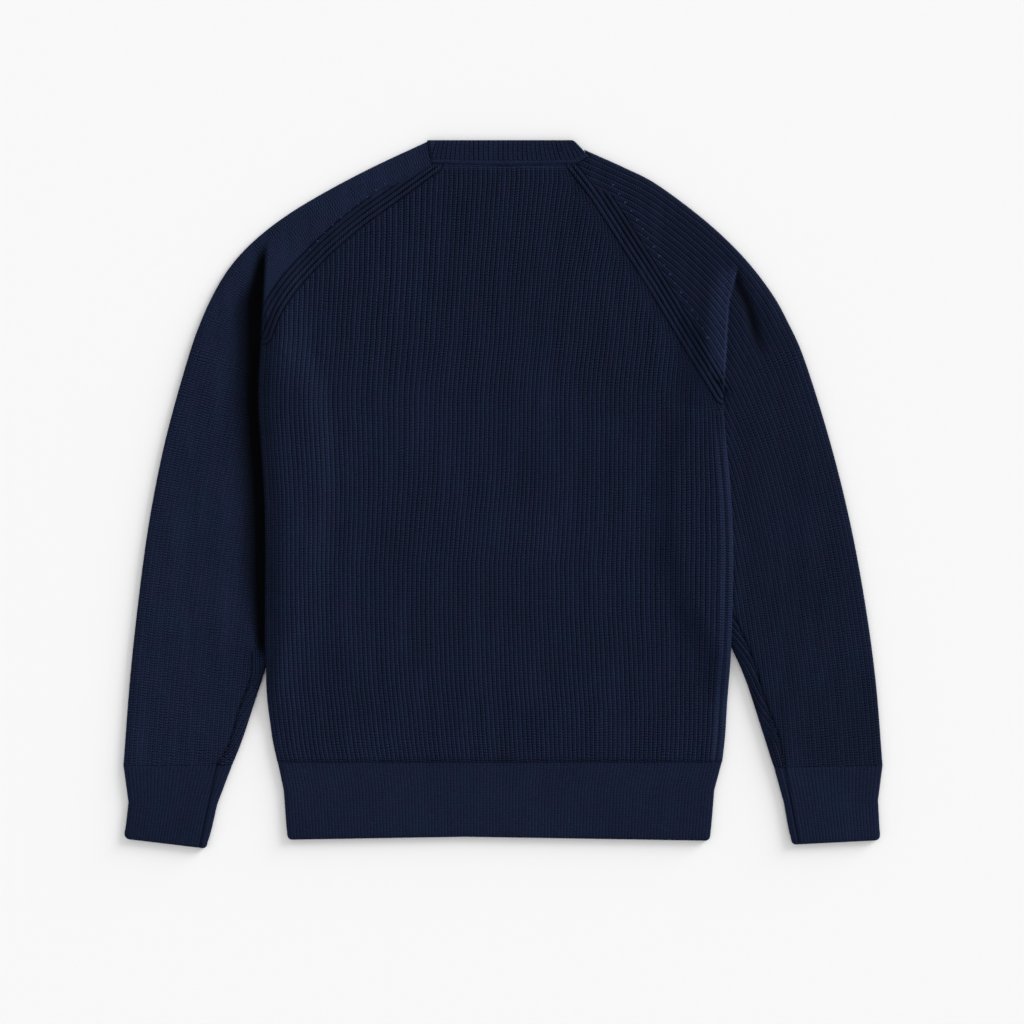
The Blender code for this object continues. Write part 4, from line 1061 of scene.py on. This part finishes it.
class SleevePlan:
    """Rib lines of one sleeve, each a fixed depth inside its shoulder and outer edge."""

    def __init__(self, side):
        self.side = side
        self.edge = smooth_path(OUTER_EDGE[side])
        along = path_directions(self.edge)
        kernel = np.ones(NORMAL_SMOOTHING) / NORMAL_SMOOTHING
        padded = np.pad(along, ((NORMAL_SMOOTHING // 2,) * 2, (0, 0)), mode="edge")
        along = np.column_stack([np.convolve(padded[:, axis], kernel, "valid") for axis in (0, 1)])
        self.normal = INWARD[side] * np.column_stack([-along[:, 1], along[:, 0]])
        self.normal /= np.linalg.norm(self.normal, axis=1)[:, None]
        self.spacing = np.linalg.norm(np.diff(self.edge, axis=0), axis=1).mean()
        on_cap = smoothstep((self.edge[:, 1] - CAP_SPREAD_END) / (CAP_SPREAD_TOP - CAP_SPREAD_END))
        self.spread = 1.0 + (CAP_SPREAD[side] - 1.0) * on_cap
        inner = INNER[side]
        deepest = int(np.argmax(distance_to(self.edge, inner)))
        self.start = np.vstack([NECK_END[side], SEAM[side][1:], inner[1:deepest + 1]])
        self.half_pitch = self.fitted_half_pitch(np.array(RAGLAN[side][-1]))
        self.step = self.half_pitch * 2.0 / RIB_POINTS
        corner_out = self.edge[-1] + CORNER_RUN_ON * (self.edge[-1] - inner[-1])
        self.end = np.vstack([inner[deepest:], corner_out])
        self.columns = self.measure_columns()

    def depth(self, point):
        """Distance of a point from the outer edge."""
        return distance_to(self.edge, np.array([point]))[0]

    def fitted_half_pitch(self, underarm):
        """Half the rib pitch, fitted so that one rib line meets the underarm."""
        nearest = int(np.argmin(np.linalg.norm(self.edge - underarm, axis=1)))
        depth = self.depth(underarm) / self.spread[nearest]
        return depth / round(2.0 * depth / SLEEVE_PITCH)

    def line(self, depth):
        """The rib line at one depth, with its ends run on a little."""
        path = self.edge + depth * self.spread[:, None] * self.normal
        before = path[0] + LINE_RUN_ON * (path[0] - path[1])
        after = path[-1] + LINE_RUN_ON * (path[-1] - path[-2])
        return np.vstack([before, path, after])

    def measure_columns(self):
        """Depth and the start, fold and end stations of each line of points."""
        rows = []
        while True:
            depth = len(rows) * self.half_pitch * 2.0 / RIB_POINTS
            path = self.line(depth)
            start = first_crossing(path, self.start)
            end = first_crossing(path, self.end)
            if not np.isfinite(start + end) or (end - start) * self.spacing < SHORTEST_COLUMN:
                return np.array(rows)
            fold = first_crossing(path, FOLD[self.side])
            rows.append((depth, start, fold if np.isfinite(fold) else end, end))

    def place(self, stations):
        """Plan points at the stations of each line, a row for each station."""
        points = np.zeros(stations.shape + (2,))
        for column, depth in enumerate(self.columns[:, 0]):
            path = self.line(depth)
            for axis in (0, 1):
                points[:, column, axis] = np.interp(stations[:, column], np.arange(len(path)),
                                                    path[:, axis])
        return points

    def true_stations(self, stations):
        """Stations with the run-on ends of the lines counted by their real length."""
        before = np.minimum(stations - 1.0, 0.0) * (LINE_RUN_ON - 1.0)
        after = np.maximum(stations - len(self.edge), 0.0) * (LINE_RUN_ON - 1.0)
        return stations + before + after

    def stretches(self, stations):
        """How much longer a way along the ribs is than the way square to the piece's edge."""
        points = self.place(stations[None, :])[0]
        across = np.linalg.norm(np.gradient(points, axis=0), axis=1) / self.step
        return np.clip(across, 1.0, STRETCH_PAST * LONGEST_STRETCH)

    def grid(self):
        """Plan points and stations, a row for each station."""
        _, start, fold, end = self.columns.T
        stretch_in = self.stretches(start) / self.spacing
        stretch_out = self.stretches(end) / self.spacing
        nearest = start + FOLD_CLEAR / self.spacing
        farthest = np.maximum(0.5 * (start + end), nearest + FOLD_ROOM / self.spacing)
        fold = np.clip(fold, nearest, farthest)
        room = fold + FOLD_ROWS[0] / self.spacing - start
        squeeze = np.minimum(1.0, room / (BAND_ROOM * BAND_SPAN * stretch_in))
        band = [start + offset * stretch_in * squeeze * BAND_CLOSE for offset in SLEEVE_BAND_ROWS]
        lip = [fold + offset / self.spacing for offset in FOLD_ROWS]
        finish = [end - offset * stretch_out for offset in END_ROWS]
        cap, middle = [
            [first + share * (last - first) for share in np.linspace(0.0, 1.0, count)[1:-1]]
            for first, last, count in ((band[-1], lip[0], CAP_ROWS),
                                       (lip[-1], finish[0], SLEEVE_ROWS))]
        stations = np.array(band + cap + lip + middle + finish)
        points = self.place(stations)
        return points[..., 0], points[..., 1], stations


def sleeve_lift(side, x, y):
    """Height of the cap above the sleeve, which ends in a short drop at the fold."""
    inside = (x - x_at(FOLD[side], y)) * INWARD[side]
    drop = smoothstep(inside / CAP_DROP_WIDTH + 0.5)
    near_underarm = smoothstep((y - UNDERARM[side] - CAP_FADE_START) / CAP_FADE_LENGTH)
    return lift(side, x, y) * drop * near_underarm


SLEEVE_LOOK = {
    # relief on the cap, relief on the sleeve, strength of the lines beside the raglan seam
    "left": (0.14, 0.42, 1.0),
    "right": (0.75, 0.55, 1.3),
}
# Fades on a sleeve, in mm, but below the neck in points of the seam
NECK_FADE = (1.0, 3.0)
BAND_END_FADE = 5.0
CAP_BLEND = 6.0
CAP_BELOW_UNDERARM = 10.0
OFF_CAP_BLEND = 3.0
EDGE_CREASE_FADE = 10.0
# Contrast of the ribs that meet along the underarm seam
SEAM_CONTRAST = 0.3
GUSSET_CONTRAST = 0.6
FULLEST_CONTRAST = 1.1


def sleeve_band(side, plan, x, y, underarm):
    """The lines beside the raglan seam of a sleeve, which fade out at both of their ends."""
    distance, station = beside(SEAM[side], x, y)
    line, along, on_band = raglan_band(x, y, distance)
    depth = plan.columns[:, 0]
    on_seam = smoothstep((underarm - np.arange(len(depth))) / RIB_POINTS / BAND_FADE_RIBS)
    on_seam = on_seam * smoothstep((depth - plan.depth(RAGLAN[side][0])) / SLEEVE_PITCH)
    below_neck = smoothstep((station - NECK_FADE[0]) / NECK_FADE[1])
    above_underarm = smoothstep((y - UNDERARM[side]) / BAND_END_FADE)
    return line, along, on_band * on_seam[None, :] * below_neck * above_underarm


def painted_fold_shading(side, x, y, inside, fold_depth, off_cap):
    """Painted shade in the folds of a sleeve, below zero for a painted highlight on the ridge of
    the right fold.
    """
    if side == "left":
        # Painted shade in the deep fold, and painted shadow beside it
        shadow = POCKET_PAINTED_SHADOW_DEPTH * pocket_painted_shadow(x, y)
        return np.maximum(POCKET_PAINTED_SHADE * fold_depth, shadow) * off_cap
    ridge = (1.0 - smoothstep((inside - RIDGE_CREST) / RIDGE_WIDTH)) * (inside > -RIDGE_UNDER_CAP)
    ridge = ridge * smoothstep((y - RIDGE_LOW[0]) / RIDGE_LOW[1])
    ridge = ridge * (1.0 - smoothstep((y - RIDGE_HIGH[0]) / RIDGE_HIGH[1]))
    # Painted highlight on the ridge of the right fold
    return NIP_PAINTED_SHADE * fold_depth * off_cap - RIDGE_PAINTED_HIGHLIGHT * ridge


def close_sleeve(shell, upper, under, roof, ground):
    """Cover the layers of a sleeve and join them round its folds and its open ends."""
    for numbers in (upper, under, roof, ground):
        shell.skin(numbers)
    shell.stitch(upper[:, 0], under[:, 0])
    shell.stitch(roof[:, 0], ground[:, 0])
    for end in (0, -1):
        shell.stitch(upper[end], roof[end])
        shell.stitch(under[end], ground[end])
        top, bottom, over, below = [int(layer[end, 0]) for layer in (upper, under, roof, ground)]
        shell.faces += [[top, bottom, over], [bottom, below, over]]
    shell.stitch(upper[:, -1], roof[:, -1])
    shell.stitch(under[:, -1], ground[:, -1])


def make_sleeve(side):
    """One sleeve: the ribbed upper layer, folded at its outer edge on to a plain lower layer."""
    plan = SleevePlan(side)
    x, y, stations = plan.grid()
    depth = plan.columns[:, 0]
    underarm = int(np.argmax(y[0] < UNDERARM[side]))
    edge_distance = np.minimum(np.broadcast_to(depth, x.shape), beside(INNER[side], x, y)[0])
    edge = rounding(edge_distance, TOP_EDGE_ROUND)
    line, along, on_band = sleeve_band(side, plan, x, y, underarm)
    inside = (x - x_at(FOLD[side], y)) * INWARD[side]
    on_cap = smoothstep(inside / CAP_BLEND + 0.5) * (y > UNDERARM[side] - CAP_BELOW_UNDERARM)
    off_cap = 1.0 - smoothstep(inside / OFF_CAP_BLEND + 1.0)
    fold_depth = pocket(x, y) if side == "left" else nip(x, y)
    crease = crease_height(CREASES[side], x, y) * smoothstep(edge_distance / EDGE_CREASE_FADE)
    crease = (crease - POCKET_DEPTH * fold_depth) * off_cap

    # Along the underarm seam the ribs of the gusset mirror those of the sleeve
    seam_line = smooth_path(UNDERARM_SEAM[side])
    off_seam, station = beside(seam_line, x, y)
    groove = bell(off_seam, SEAM_GROOVE_WIDTH)
    rib = np.broadcast_to(depth / (2.0 * plan.half_pitch), x.shape)
    seam_ribs = distance_to(plan.edge, seam_line) / (2.0 * plan.half_pitch)
    seam_rib = np.interp(station, np.arange(len(seam_line)), seam_ribs)
    seam_reach = y < seam_line[0, 1] + GUSSET_RUN_ON
    on_gusset = ((x - x_at(seam_line, y)) * INWARD[side] > 0.0) * seam_reach
    near_seam = bell(off_seam, GUSSET_REACH) * seam_reach
    rib_turned = np.where(on_gusset, 2.0 * seam_rib - rib, rib)

    look_cap, look_sleeve, look_band = SLEEVE_LOOK[side]
    look = look_sleeve + (look_cap - look_sleeve) * on_cap
    relief = look * (1.0 - on_band) + look_band * on_band
    relief = (relief + near_seam * on_gusset) * (1.0 - fold_depth)
    contrast = look + (SEAM_CONTRAST + GUSSET_CONTRAST * on_gusset) * near_seam
    height = UPPER_TOP - UPPER_BOTTOM - EDGE_LIP + sleeve_lift(side, x, y) + crease
    height = height - SEAM_GROOVE_DEPTH * groove
    # Painted shade in the folds and in the underarm seam groove, and a painted highlight on the
    # right ridge
    shade = painted_fold_shading(side, x, y, inside, fold_depth, off_cap) + SEAM_PAINTED_SHADE * groove
    row = plan.true_stations(stations) * plan.spacing / STITCH_ROW

    shell = Shell("sleeve_%s_knit" % side)
    upper = shell.grid(x, y, UPPER_BOTTOM + EDGE_LIP + height * edge, rib_turned, row,
                       np.clip(contrast, 0.0, FULLEST_CONTRAST), line, along, on_band,
                       edge * relief, shade)
    beside_underarm = {underarm - RIB_POINTS // 2, underarm, underarm + RIB_POINTS // 2}
    columns = sorted(set(range(4, len(depth), RIB_POINTS)) | beside_underarm |
                     {1, 2, len(depth) - 1})
    rows = sorted(set(range(0, len(x), PLAIN_SLEEVE_STEP)) | {len(x) - 1} |
                  set(range(0, len(SLEEVE_BAND_ROWS), PLAIN_BAND_STEP)))
    cells = np.ix_(rows, columns)
    floor_edge = rounding(edge_distance[cells], FLOOR_EDGE_ROUND)
    under = shell.grid(x[cells], y[cells], (LOWER_TOP - EDGE_LIP) * (1.0 - floor_edge),
                       rib[cells], row[cells])
    cells = np.ix_(rows, columns[1:])
    roof, ground = [shell.grid(x[cells], y[cells], level, rib[cells], row[cells])
                    for level in (UPPER_BOTTOM, LOWER_TOP)]
    close_sleeve(shell, upper, under, roof, ground)
    return knitted(shell)


# Rows of the hem and cuffs from their top, 0, to their lower edge, 2, and how full each row is
HEM_LEVELS = [0.0, 0.03, 0.08, 0.25, 0.5, 0.75, 1.0, 1.25, 1.5, 1.75, 1.9, 1.95, 1.985, 2.0]
HEM_LIP = [0.9, 1.0, 1.0, 1.0, 1.0, 1.0, 1.0, 1.0, 1.0, 1.0, 1.0, 0.92, 0.7, 0.4]
PLAIN_HEM_LEVELS = [0.0, 0.5, 1.0, 1.5, 1.97, 2.0]


def section_at(sections, level):
    """Values of a band's sections at a level between 0 and 2."""
    return [np.interp(level, [0, 1, 2], column) for column in np.array(sections).T]


def corner_rise(distance, level):
    """How far the lower edge of a band rises into its rounded corner."""
    near = np.clip(1.0 - distance / CORNER_ROUND, 0.0, 1.0)
    low = smoothstep((level - CORNER_LEVEL) / (2.0 - CORNER_LEVEL))
    return CORNER_ROUND * (1.0 - np.sqrt(1.0 - near ** 2)) * low


def hem_plan(share, levels, radius):
    """Plan of a hem band, and the rounding of its two ends."""
    rows = []
    for level in levels:
        y_left, y_middle, y_right, left, right = section_at(HEM_SECTIONS, level)
        y = np.interp(share, [0.0, HEM_MIDDLE, 1.0], [y_left, y_middle, y_right])
        y = y + corner_rise(np.minimum(share, 1.0 - share) * (right - left), level)
        rows.append(np.column_stack([left + share * (right - left), y]))
    points = np.array(rows)
    width = HEM_SECTIONS[1][4] - HEM_SECTIONS[1][3]
    edge = rounding(np.minimum(share, 1.0 - share) * width, radius)[None, :]
    return points[..., 0], points[..., 1], edge


def make_hem_back():
    """Upper hem band with its fine ribs."""
    share = np.linspace(0.0, 1.0, RIB_POINTS * HEM_RIBS + 1)
    x, y, edge = hem_plan(share, HEM_LEVELS, TOP_EDGE_ROUND)
    lip = np.array(HEM_LIP)[:, None]
    z = UPPER_BOTTOM + EDGE_LIP + (WALL - EDGE_LIP) * edge * lip
    rib = np.broadcast_to(share * HEM_RIBS, x.shape)
    shell = Shell("hem_back_knit")
    outer = shell.grid(x, y, z, rib, y / STITCH_ROW, raised=edge * lip)
    last = len(share) - 1
    columns = sorted(set(range(0, len(share), 2 * RIB_POINTS)) | {1, 3, 6, last, last - 3})
    cells = np.ix_([0, HEM_LEVELS.index(1.0), len(x) - 1], columns)
    inner = shell.grid(x[cells], y[cells], UPPER_BOTTOM, rib[cells], y[cells] / STITCH_ROW)
    shell.close(outer, inner)
    return knitted(shell)


def make_hem_front():
    """Lower hem band, flat on the surface."""
    share = np.linspace(0.0, 1.0, 2 * HEM_RIBS + 1)
    x, y, edge = hem_plan(share, PLAIN_HEM_LEVELS, FLOOR_EDGE_ROUND)
    return plain_shell("hem_front_knit", x, y, 0.0, edge, share * HEM_RIBS)


# Round a cuff: shares of its width on its lower skin and in its hollow, and its seam line with
# painted shade in its groove
CUFF_UNDER = np.concatenate([[0.985, 0.96], np.linspace(0.92, 0.08, 20), [0.04, 0.015]])
CUFF_HOLLOW = np.concatenate([[0.04], np.linspace(0.1, 0.9, 9), [0.96]])
CUFF_SEAM_INSET = 8.0
CUFF_SEAM_DEPTH = 0.8
CUFF_SEAM_WIDTH = 1.2
CUFF_SEAM_PAINTED_SHADE = 0.6


def make_cuff(side):
    """One cuff: a flattened tube, ribbed above and plain where it rests."""
    upper = np.linspace(0.0, 1.0, CUFF_POINTS * CUFF_RIBS + 1)
    top, half = len(upper), len(CUFF_HOLLOW)
    round_skin = np.concatenate([upper, CUFF_UNDER])
    round_lining = np.concatenate([CUFF_HOLLOW, CUFF_HOLLOW[::-1]])
    is_upper = np.arange(len(round_skin)) < top
    skin, lining, raised = [], [], []
    for level, lip in zip(HEM_LEVELS, HEM_LIP):
        outer_x, outer_y, inner_x, inner_y = section_at(CUFF_SECTIONS[side], level)
        start = np.array([inner_x, inner_y])
        run = np.array([outer_x, outer_y]) - start
        from_end = np.minimum(round_skin, 1.0 - round_skin) * np.linalg.norm(run)
        fullness = rounding(from_end, TOP_EDGE_ROUND) * lip
        floor_z = (LOWER_TOP - EDGE_LIP) * (1.0 - rounding(from_end, FLOOR_EDGE_ROUND))
        z = np.where(is_upper, UPPER_BOTTOM + EDGE_LIP + (WALL - EDGE_LIP) * fullness, floor_z)
        plan = start + round_skin[:, None] * run
        plan[:, 1] += corner_rise(from_end, level)
        skin.append(np.column_stack([plan, z]))
        raised.append(fullness * is_upper)
        lining.append(np.column_stack([start + round_lining[:, None] * run,
                                       np.repeat([UPPER_BOTTOM, LOWER_TOP], half)]))
    x, y, z = np.array(skin).transpose(2, 0, 1)
    lining_x, lining_y, lining_z = np.array(lining).transpose(2, 0, 1)
    seam_foot = np.array(CUFF_SECTIONS[side][2][2:]) + [-CUFF_SEAM_INSET * INWARD[side], 0.0]
    off_seam = beside(np.array([UNDERARM_SEAM[side][-1], seam_foot]), x, y)[0]
    groove = CUFF_SEAM_DEPTH * bell(off_seam, CUFF_SEAM_WIDTH) * (z > UPPER_BOTTOM + EDGE_LIP)
    shell = Shell("cuff_%s_knit" % side)
    # Painted shade in the cuff's seam groove
    outer = shell.grid(x, y, z - groove, round_skin * CUFF_RIBS, y / STITCH_ROW,
                       raised=np.array(raised), painted_shading=CUFF_SEAM_PAINTED_SHADE / CUFF_SEAM_DEPTH * groove)
    inner = shell.grid(lining_x, lining_y, lining_z)
    shell.skin(outer, closed=True)
    shell.skin(inner, closed=True)
    for end in (0, -1):
        shell.stitch(outer[end, :top], inner[end, :half])
        shell.stitch(outer[end, top - 1:top + 1], inner[end, half - 1:half + 1])
        shell.stitch(outer[end, top:], inner[end, half:])
        shell.stitch(outer[end, [-1, 0]], inner[end, [-1, 0]])
    return knitted(shell)


# Rows of the neckband from its free edge, 0, to its seam, 1, how full each is, and its sections
BAND_LEVELS = [0.0, 0.04, 0.12, 0.3, 0.5, 0.7, 0.8, 0.84, 0.88, 0.92, 0.96, 1.0]
BAND_LIP = [-0.9, -0.35, 0.0, 0.0, 0.0, 0.0, -0.1, -0.05, 0.15, 0.2, 0.1, -0.4]
LIP_RELIEF = 0.8
LINKED_CONTRAST = 0.15
TURN_SECTIONS = 9
STRIP_SECTIONS = 81
STRIP_RIBS = 1.4


def band_sections():
    """Sections round the neckband: free edge, seam edge, turn of the cloth, way, rib, relief."""
    free_left, free_right = np.array(BAND_FREE_EDGE)
    seam_edge = np.array(BAND_SEAM_EDGE)
    seam_left, seam_right = seam_edge[0], seam_edge[-1]
    lengths = run_lengths(seam_edge)
    turns = np.linspace(0.0, np.pi, TURN_SECTIONS)[1:-1]
    rows = []
    for share in np.linspace(0.0, 1.0, NECK_POINTS * NECK_RIBS + 1):
        free = free_left + share * (free_right - free_left)
        seam = np.array([np.interp(share * lengths[-1], lengths, axis) for axis in seam_edge.T])
        seam[1] -= NECK_SAG * np.sin(np.pi * share)
        rows.append((free, seam, 0.0, 1.0, share * NECK_RIBS, 1.0))
    for turn in turns:
        rows.append((free_right, seam_right, turn, 1.0, NECK_RIBS + turn / np.pi, 0.0))
    rows += front_strip(free_right, seam_right, free_left, seam_left)
    for turn in turns[::-1]:
        rows.append((free_left, seam_left, turn, -1.0, -turn / np.pi, 0.0))
    return rows


def front_strip(free_right, seam_right, free_left, seam_left):
    """Sections of the strip that follows the lower front neckline, from right to left."""
    rows = []
    for share in np.linspace(0.0, 1.0, STRIP_SECTIONS):
        seam = seam_right + share * (seam_left - seam_right)
        seam[1] += FRONT_NECK_GAP * np.sin(np.pi * share) - front_neck_drop(seam[0])
        slope = FRONT_NECK_DROP * FRONT_NECK_POWER
        slope *= abs(2.0 * share - 1.0) ** (FRONT_NECK_POWER - 1.0)
        slope *= 2.0 * np.sign(share - 0.5) / abs(seam_right[0] - seam_left[0])
        inward = np.array([slope, 1.0]) / np.hypot(slope, 1.0)
        at_end = free_right - seam_right if share < 0.5 else free_left - seam_left
        blend = smoothstep(1.0 - BAND_END_BLEND * min(share, 1.0 - share))
        aim = inward * (1.0 - blend) + at_end / np.linalg.norm(at_end) * blend
        free = seam + NECK_BAND_WIDTH * aim / np.linalg.norm(aim)
        rows.append((free, seam, np.pi, 1.0, NECK_RIBS * (1.0 + STRIP_RIBS * share), 0.0))
    return rows


def make_neckband():
    """The neckband ring, softly rounded at its free edge and at its seam."""
    outer, inner, ribs, rows, raised = [], [], [], [], []
    for free, seam, turn, way, rib, relief in band_sections():
        away = np.array([way * np.sin(turn), np.cos(turn)])
        for level, lip in zip(BAND_LEVELS, BAND_LIP):
            edge = free + level * (seam - free)
            fullness = lip if away[1] > 0.0 else min(lip, 0.0)
            for skin, half_wall in ((outer, BAND_HALF_WALL + fullness), (inner, -BAND_HALF_WALL)):
                reach = BAND_FOLD_RADIUS + half_wall
                skin.append((edge[0] + away[0] * reach, edge[1], BAND_MIDDLE + away[1] * reach))
            ribs.append(rib)
            rows.append(level * NECK_BAND_WIDTH / STITCH_ROW)
            raised.append(relief * (1.0 + LIP_RELIEF * lip))
    shape = (-1, len(BAND_LEVELS))
    outer, inner = [np.array(skin).reshape(shape + (3,)).transpose(2, 1, 0)
                    for skin in (outer, inner)]
    ribs, rows, raised = [np.array(value).reshape(shape).T for value in (ribs, rows, raised)]
    fan_x, fan_run = np.array(NECK_FAN).T
    upper = NECK_POINTS * NECK_RIBS + 1
    for number, level in enumerate(BAND_LEVELS):
        run = fan_x + (1.0 - level) * fan_run
        ribs[number, :upper] = np.interp(outer[0, number, :upper], run, fan_x) / NECK_PITCH
    linked = np.array(BAND_LEVELS)[:, None] > 1.0 - LINKED_RIDGE / NECK_BAND_WIDTH
    contrast = np.where(linked, LINKED_CONTRAST, 1.0)
    shell = Shell("neckband_knit")
    skin = shell.grid(*outer, ribs, rows, contrast + 0.0 * rows, raised=raised * contrast)
    lining = shell.grid(*inner, ribs, rows)
    shell.skin(skin, closed=True)
    shell.skin(lining, closed=True)
    for end in (0, -1):
        shell.skin(np.vstack([skin[end], lining[end]]), closed=True)
    return knitted(shell)


ABOVE_CLOTH = 0.05
STITCHES = {
    # points in mm, their step, wool, spacing, length, width, height, slant, gap of the legs, seed
    "fashion_marks_right": (
        [(110.0, 309.5), (126.0, 286.5), (149.0, 250.5), (172.0, 211.5), (193.0, 177.5),
         (204.0, 156.5)], 3.0, MARK_WOOL, 10.4, 1.5, 0.45, 0.35, 0.6, 0.5, 4),
    "fashion_marks_left": (
        [(-118.0, 311.0), (-146.0, 290.0), (-172.0, 268.0), (-193.0, 245.0)], 3.0, MARK_WOOL,
        10.4, 1.2, 0.4, 0.3, 0.6, 0.4, 6),
    "neck_linking": (
        [(-67.0, 333.2), (-40.0, 332.4), (2.0, 331.6), (44.0, 332.4), (72.5, 333.0),
         (83.0, 338.6)], 2.0, NECK_KNIT, 2.45, 1.0, 0.6, 0.4, 0.35, 0.4, 8),
}


def stitch_line(name, cloth):
    """A row of stitches along a line laid on the top of a piece."""
    knots, step, wool, spacing, length, width, height, slant, apart, seed = STITCHES[name]
    points = []
    for x, y in smooth_path(knots, step=step):
        hit, place, _, _ = cloth.ray_cast(Vector((x * MM, y * MM, ABOVE_CLOTH)),
                                          Vector((0.0, 0.0, -1.0)))
        if hit:
            points.append((x * MM, y * MM, place.z))
    mesh = bpy.data.meshes.new(name)
    mesh.from_pydata(points, [(index, index + 1) for index in range(len(points) - 1)], [])
    return grow(placed(name, mesh), STITCH_LINE, Spacing=spacing * MM, Loop_Length=length * MM,
                Loop_Width=width * MM, Loop_Height=height * MM, Slant=slant, Apart=apart * MM,
                Seed=seed, Material=wool)


back = make_back()
front = make_front()
sleeves = {side: make_sleeve(side) for side in ("left", "right")}
cuffs = {side: make_cuff(side) for side in ("left", "right")}
hem_back = make_hem_back()
hem_front = make_hem_front()
neckband = make_neckband()
marks = {side: stitch_line("fashion_marks_" + side, sleeves[side]) for side in ("right", "left")}
neck_link = stitch_line("neck_linking", neckband)

for piece, node, wool in (
    (back, "back_panel", "rib_knit"),
    (front, "front_panel", "rib_knit"),
    (sleeves["left"], "sleeve_left", "rib_knit"),
    (sleeves["right"], "sleeve_right", "rib_knit"),
    (cuffs["left"], "cuff_left", "fine_rib"),
    (cuffs["right"], "cuff_right", "fine_rib"),
    (hem_back, "hem_rib_back", "fine_rib"),
    (hem_front, "hem_rib_front", "fine_rib"),
    (neckband, "neckband", "fine_rib"),
    (marks["right"], None, "rib_knit"),
    (marks["left"], None, "rib_knit"),
    (neck_link, None, "fine_rib"),
):
    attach(piece, "root")
    if node:
        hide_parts(node)


# Floor, light and camera
PHOTO_SIZE = 1024
PIXELS_PER_METRE = 1000.0
OBJECT_CENTRE_PIXEL = (503.0, 494.5)
LENS = 85.0
SENSOR = 36.0
CLOTH_HEIGHT = 0.006
KEY_AZIMUTH = 40.0
KEY_ELEVATION = 15.0
KEY_SOFTNESS = 30.0
KEY_STRENGTH = 3.6
SKY_COLOUR = (1.0, 1.0, 1.0, 1.0)
SKY_STRENGTH = 0.75
FLOOR_COLOUR = (0.90, 0.90, 0.905, 1.0)
FLOOR_GRAIN = (60.0, 3.0)
FLOOR_ROUGHNESS = (0.86, 0.08)
FLOOR_SQUARES = 8
FLOOR_REACH = 4.0
FLOOR_DROP = 0.0002


def make_floor():
    """A plain pale floor."""
    shape = bmesh.new()
    bmesh.ops.create_grid(shape, x_segments=FLOOR_SQUARES, y_segments=FLOOR_SQUARES,
                          size=FLOOR_REACH)
    mesh = bpy.data.meshes.new("floor")
    shape.to_mesh(mesh)
    shape.free()
    mesh.transform(Matrix.Translation((0.0, 0.0, -FLOOR_DROP)))
    material = bpy.data.materials.new("pale_floor")
    material.use_nodes = True
    tree = Tree(material.node_tree)
    grain = tree.noise(tree.add("ShaderNodeTexCoord", out="Object"), *FLOOR_GRAIN)
    tree.feed(material.node_tree.nodes["Principled BSDF"], {
        "Roughness": FLOOR_ROUGHNESS[0] + grain * FLOOR_ROUGHNESS[1],
        "Base Color": FLOOR_COLOUR, "Specular IOR Level": 0.1})
    mesh.materials.append(material)
    placed("floor", mesh)


def make_light():
    """Soft key light from the right and a little from above, in an even pale room."""
    sun = bpy.data.lights.new("key", "SUN")
    sun.energy = KEY_STRENGTH
    sun.angle = math.radians(KEY_SOFTNESS)
    azimuth, elevation = math.radians(KEY_AZIMUTH), math.radians(KEY_ELEVATION)
    toward = (math.cos(azimuth) * math.cos(elevation), math.sin(azimuth) * math.cos(elevation),
              math.sin(elevation))
    placed("key", sun).rotation_euler = Vector(toward).to_track_quat("Z", "Y").to_euler()
    world = bpy.data.worlds.new("room")
    world.use_nodes = True
    sky = world.node_tree.nodes["Background"]
    Tree(world.node_tree).feed(sky, {"Color": SKY_COLOUR, "Strength": SKY_STRENGTH})
    bpy.context.scene.world = world


def make_camera():
    """Straight down on the sweater, one millimetre to a pixel of the photograph."""
    lens = bpy.data.cameras.new("camera")
    lens.lens = LENS
    lens.sensor_width = SENSOR
    camera = placed("camera", lens)
    distance = PHOTO_SIZE / PIXELS_PER_METRE * LENS / SENSOR
    middle = PHOTO_SIZE / 2
    camera.location = ((middle - OBJECT_CENTRE_PIXEL[0]) / PIXELS_PER_METRE,
                       (OBJECT_CENTRE_PIXEL[1] - middle) / PIXELS_PER_METRE,
                       CLOTH_HEIGHT + distance)
    bpy.context.scene.camera = camera


make_floor()
make_light()
make_camera()
bpy.context.scene.view_settings.view_transform = "Standard"
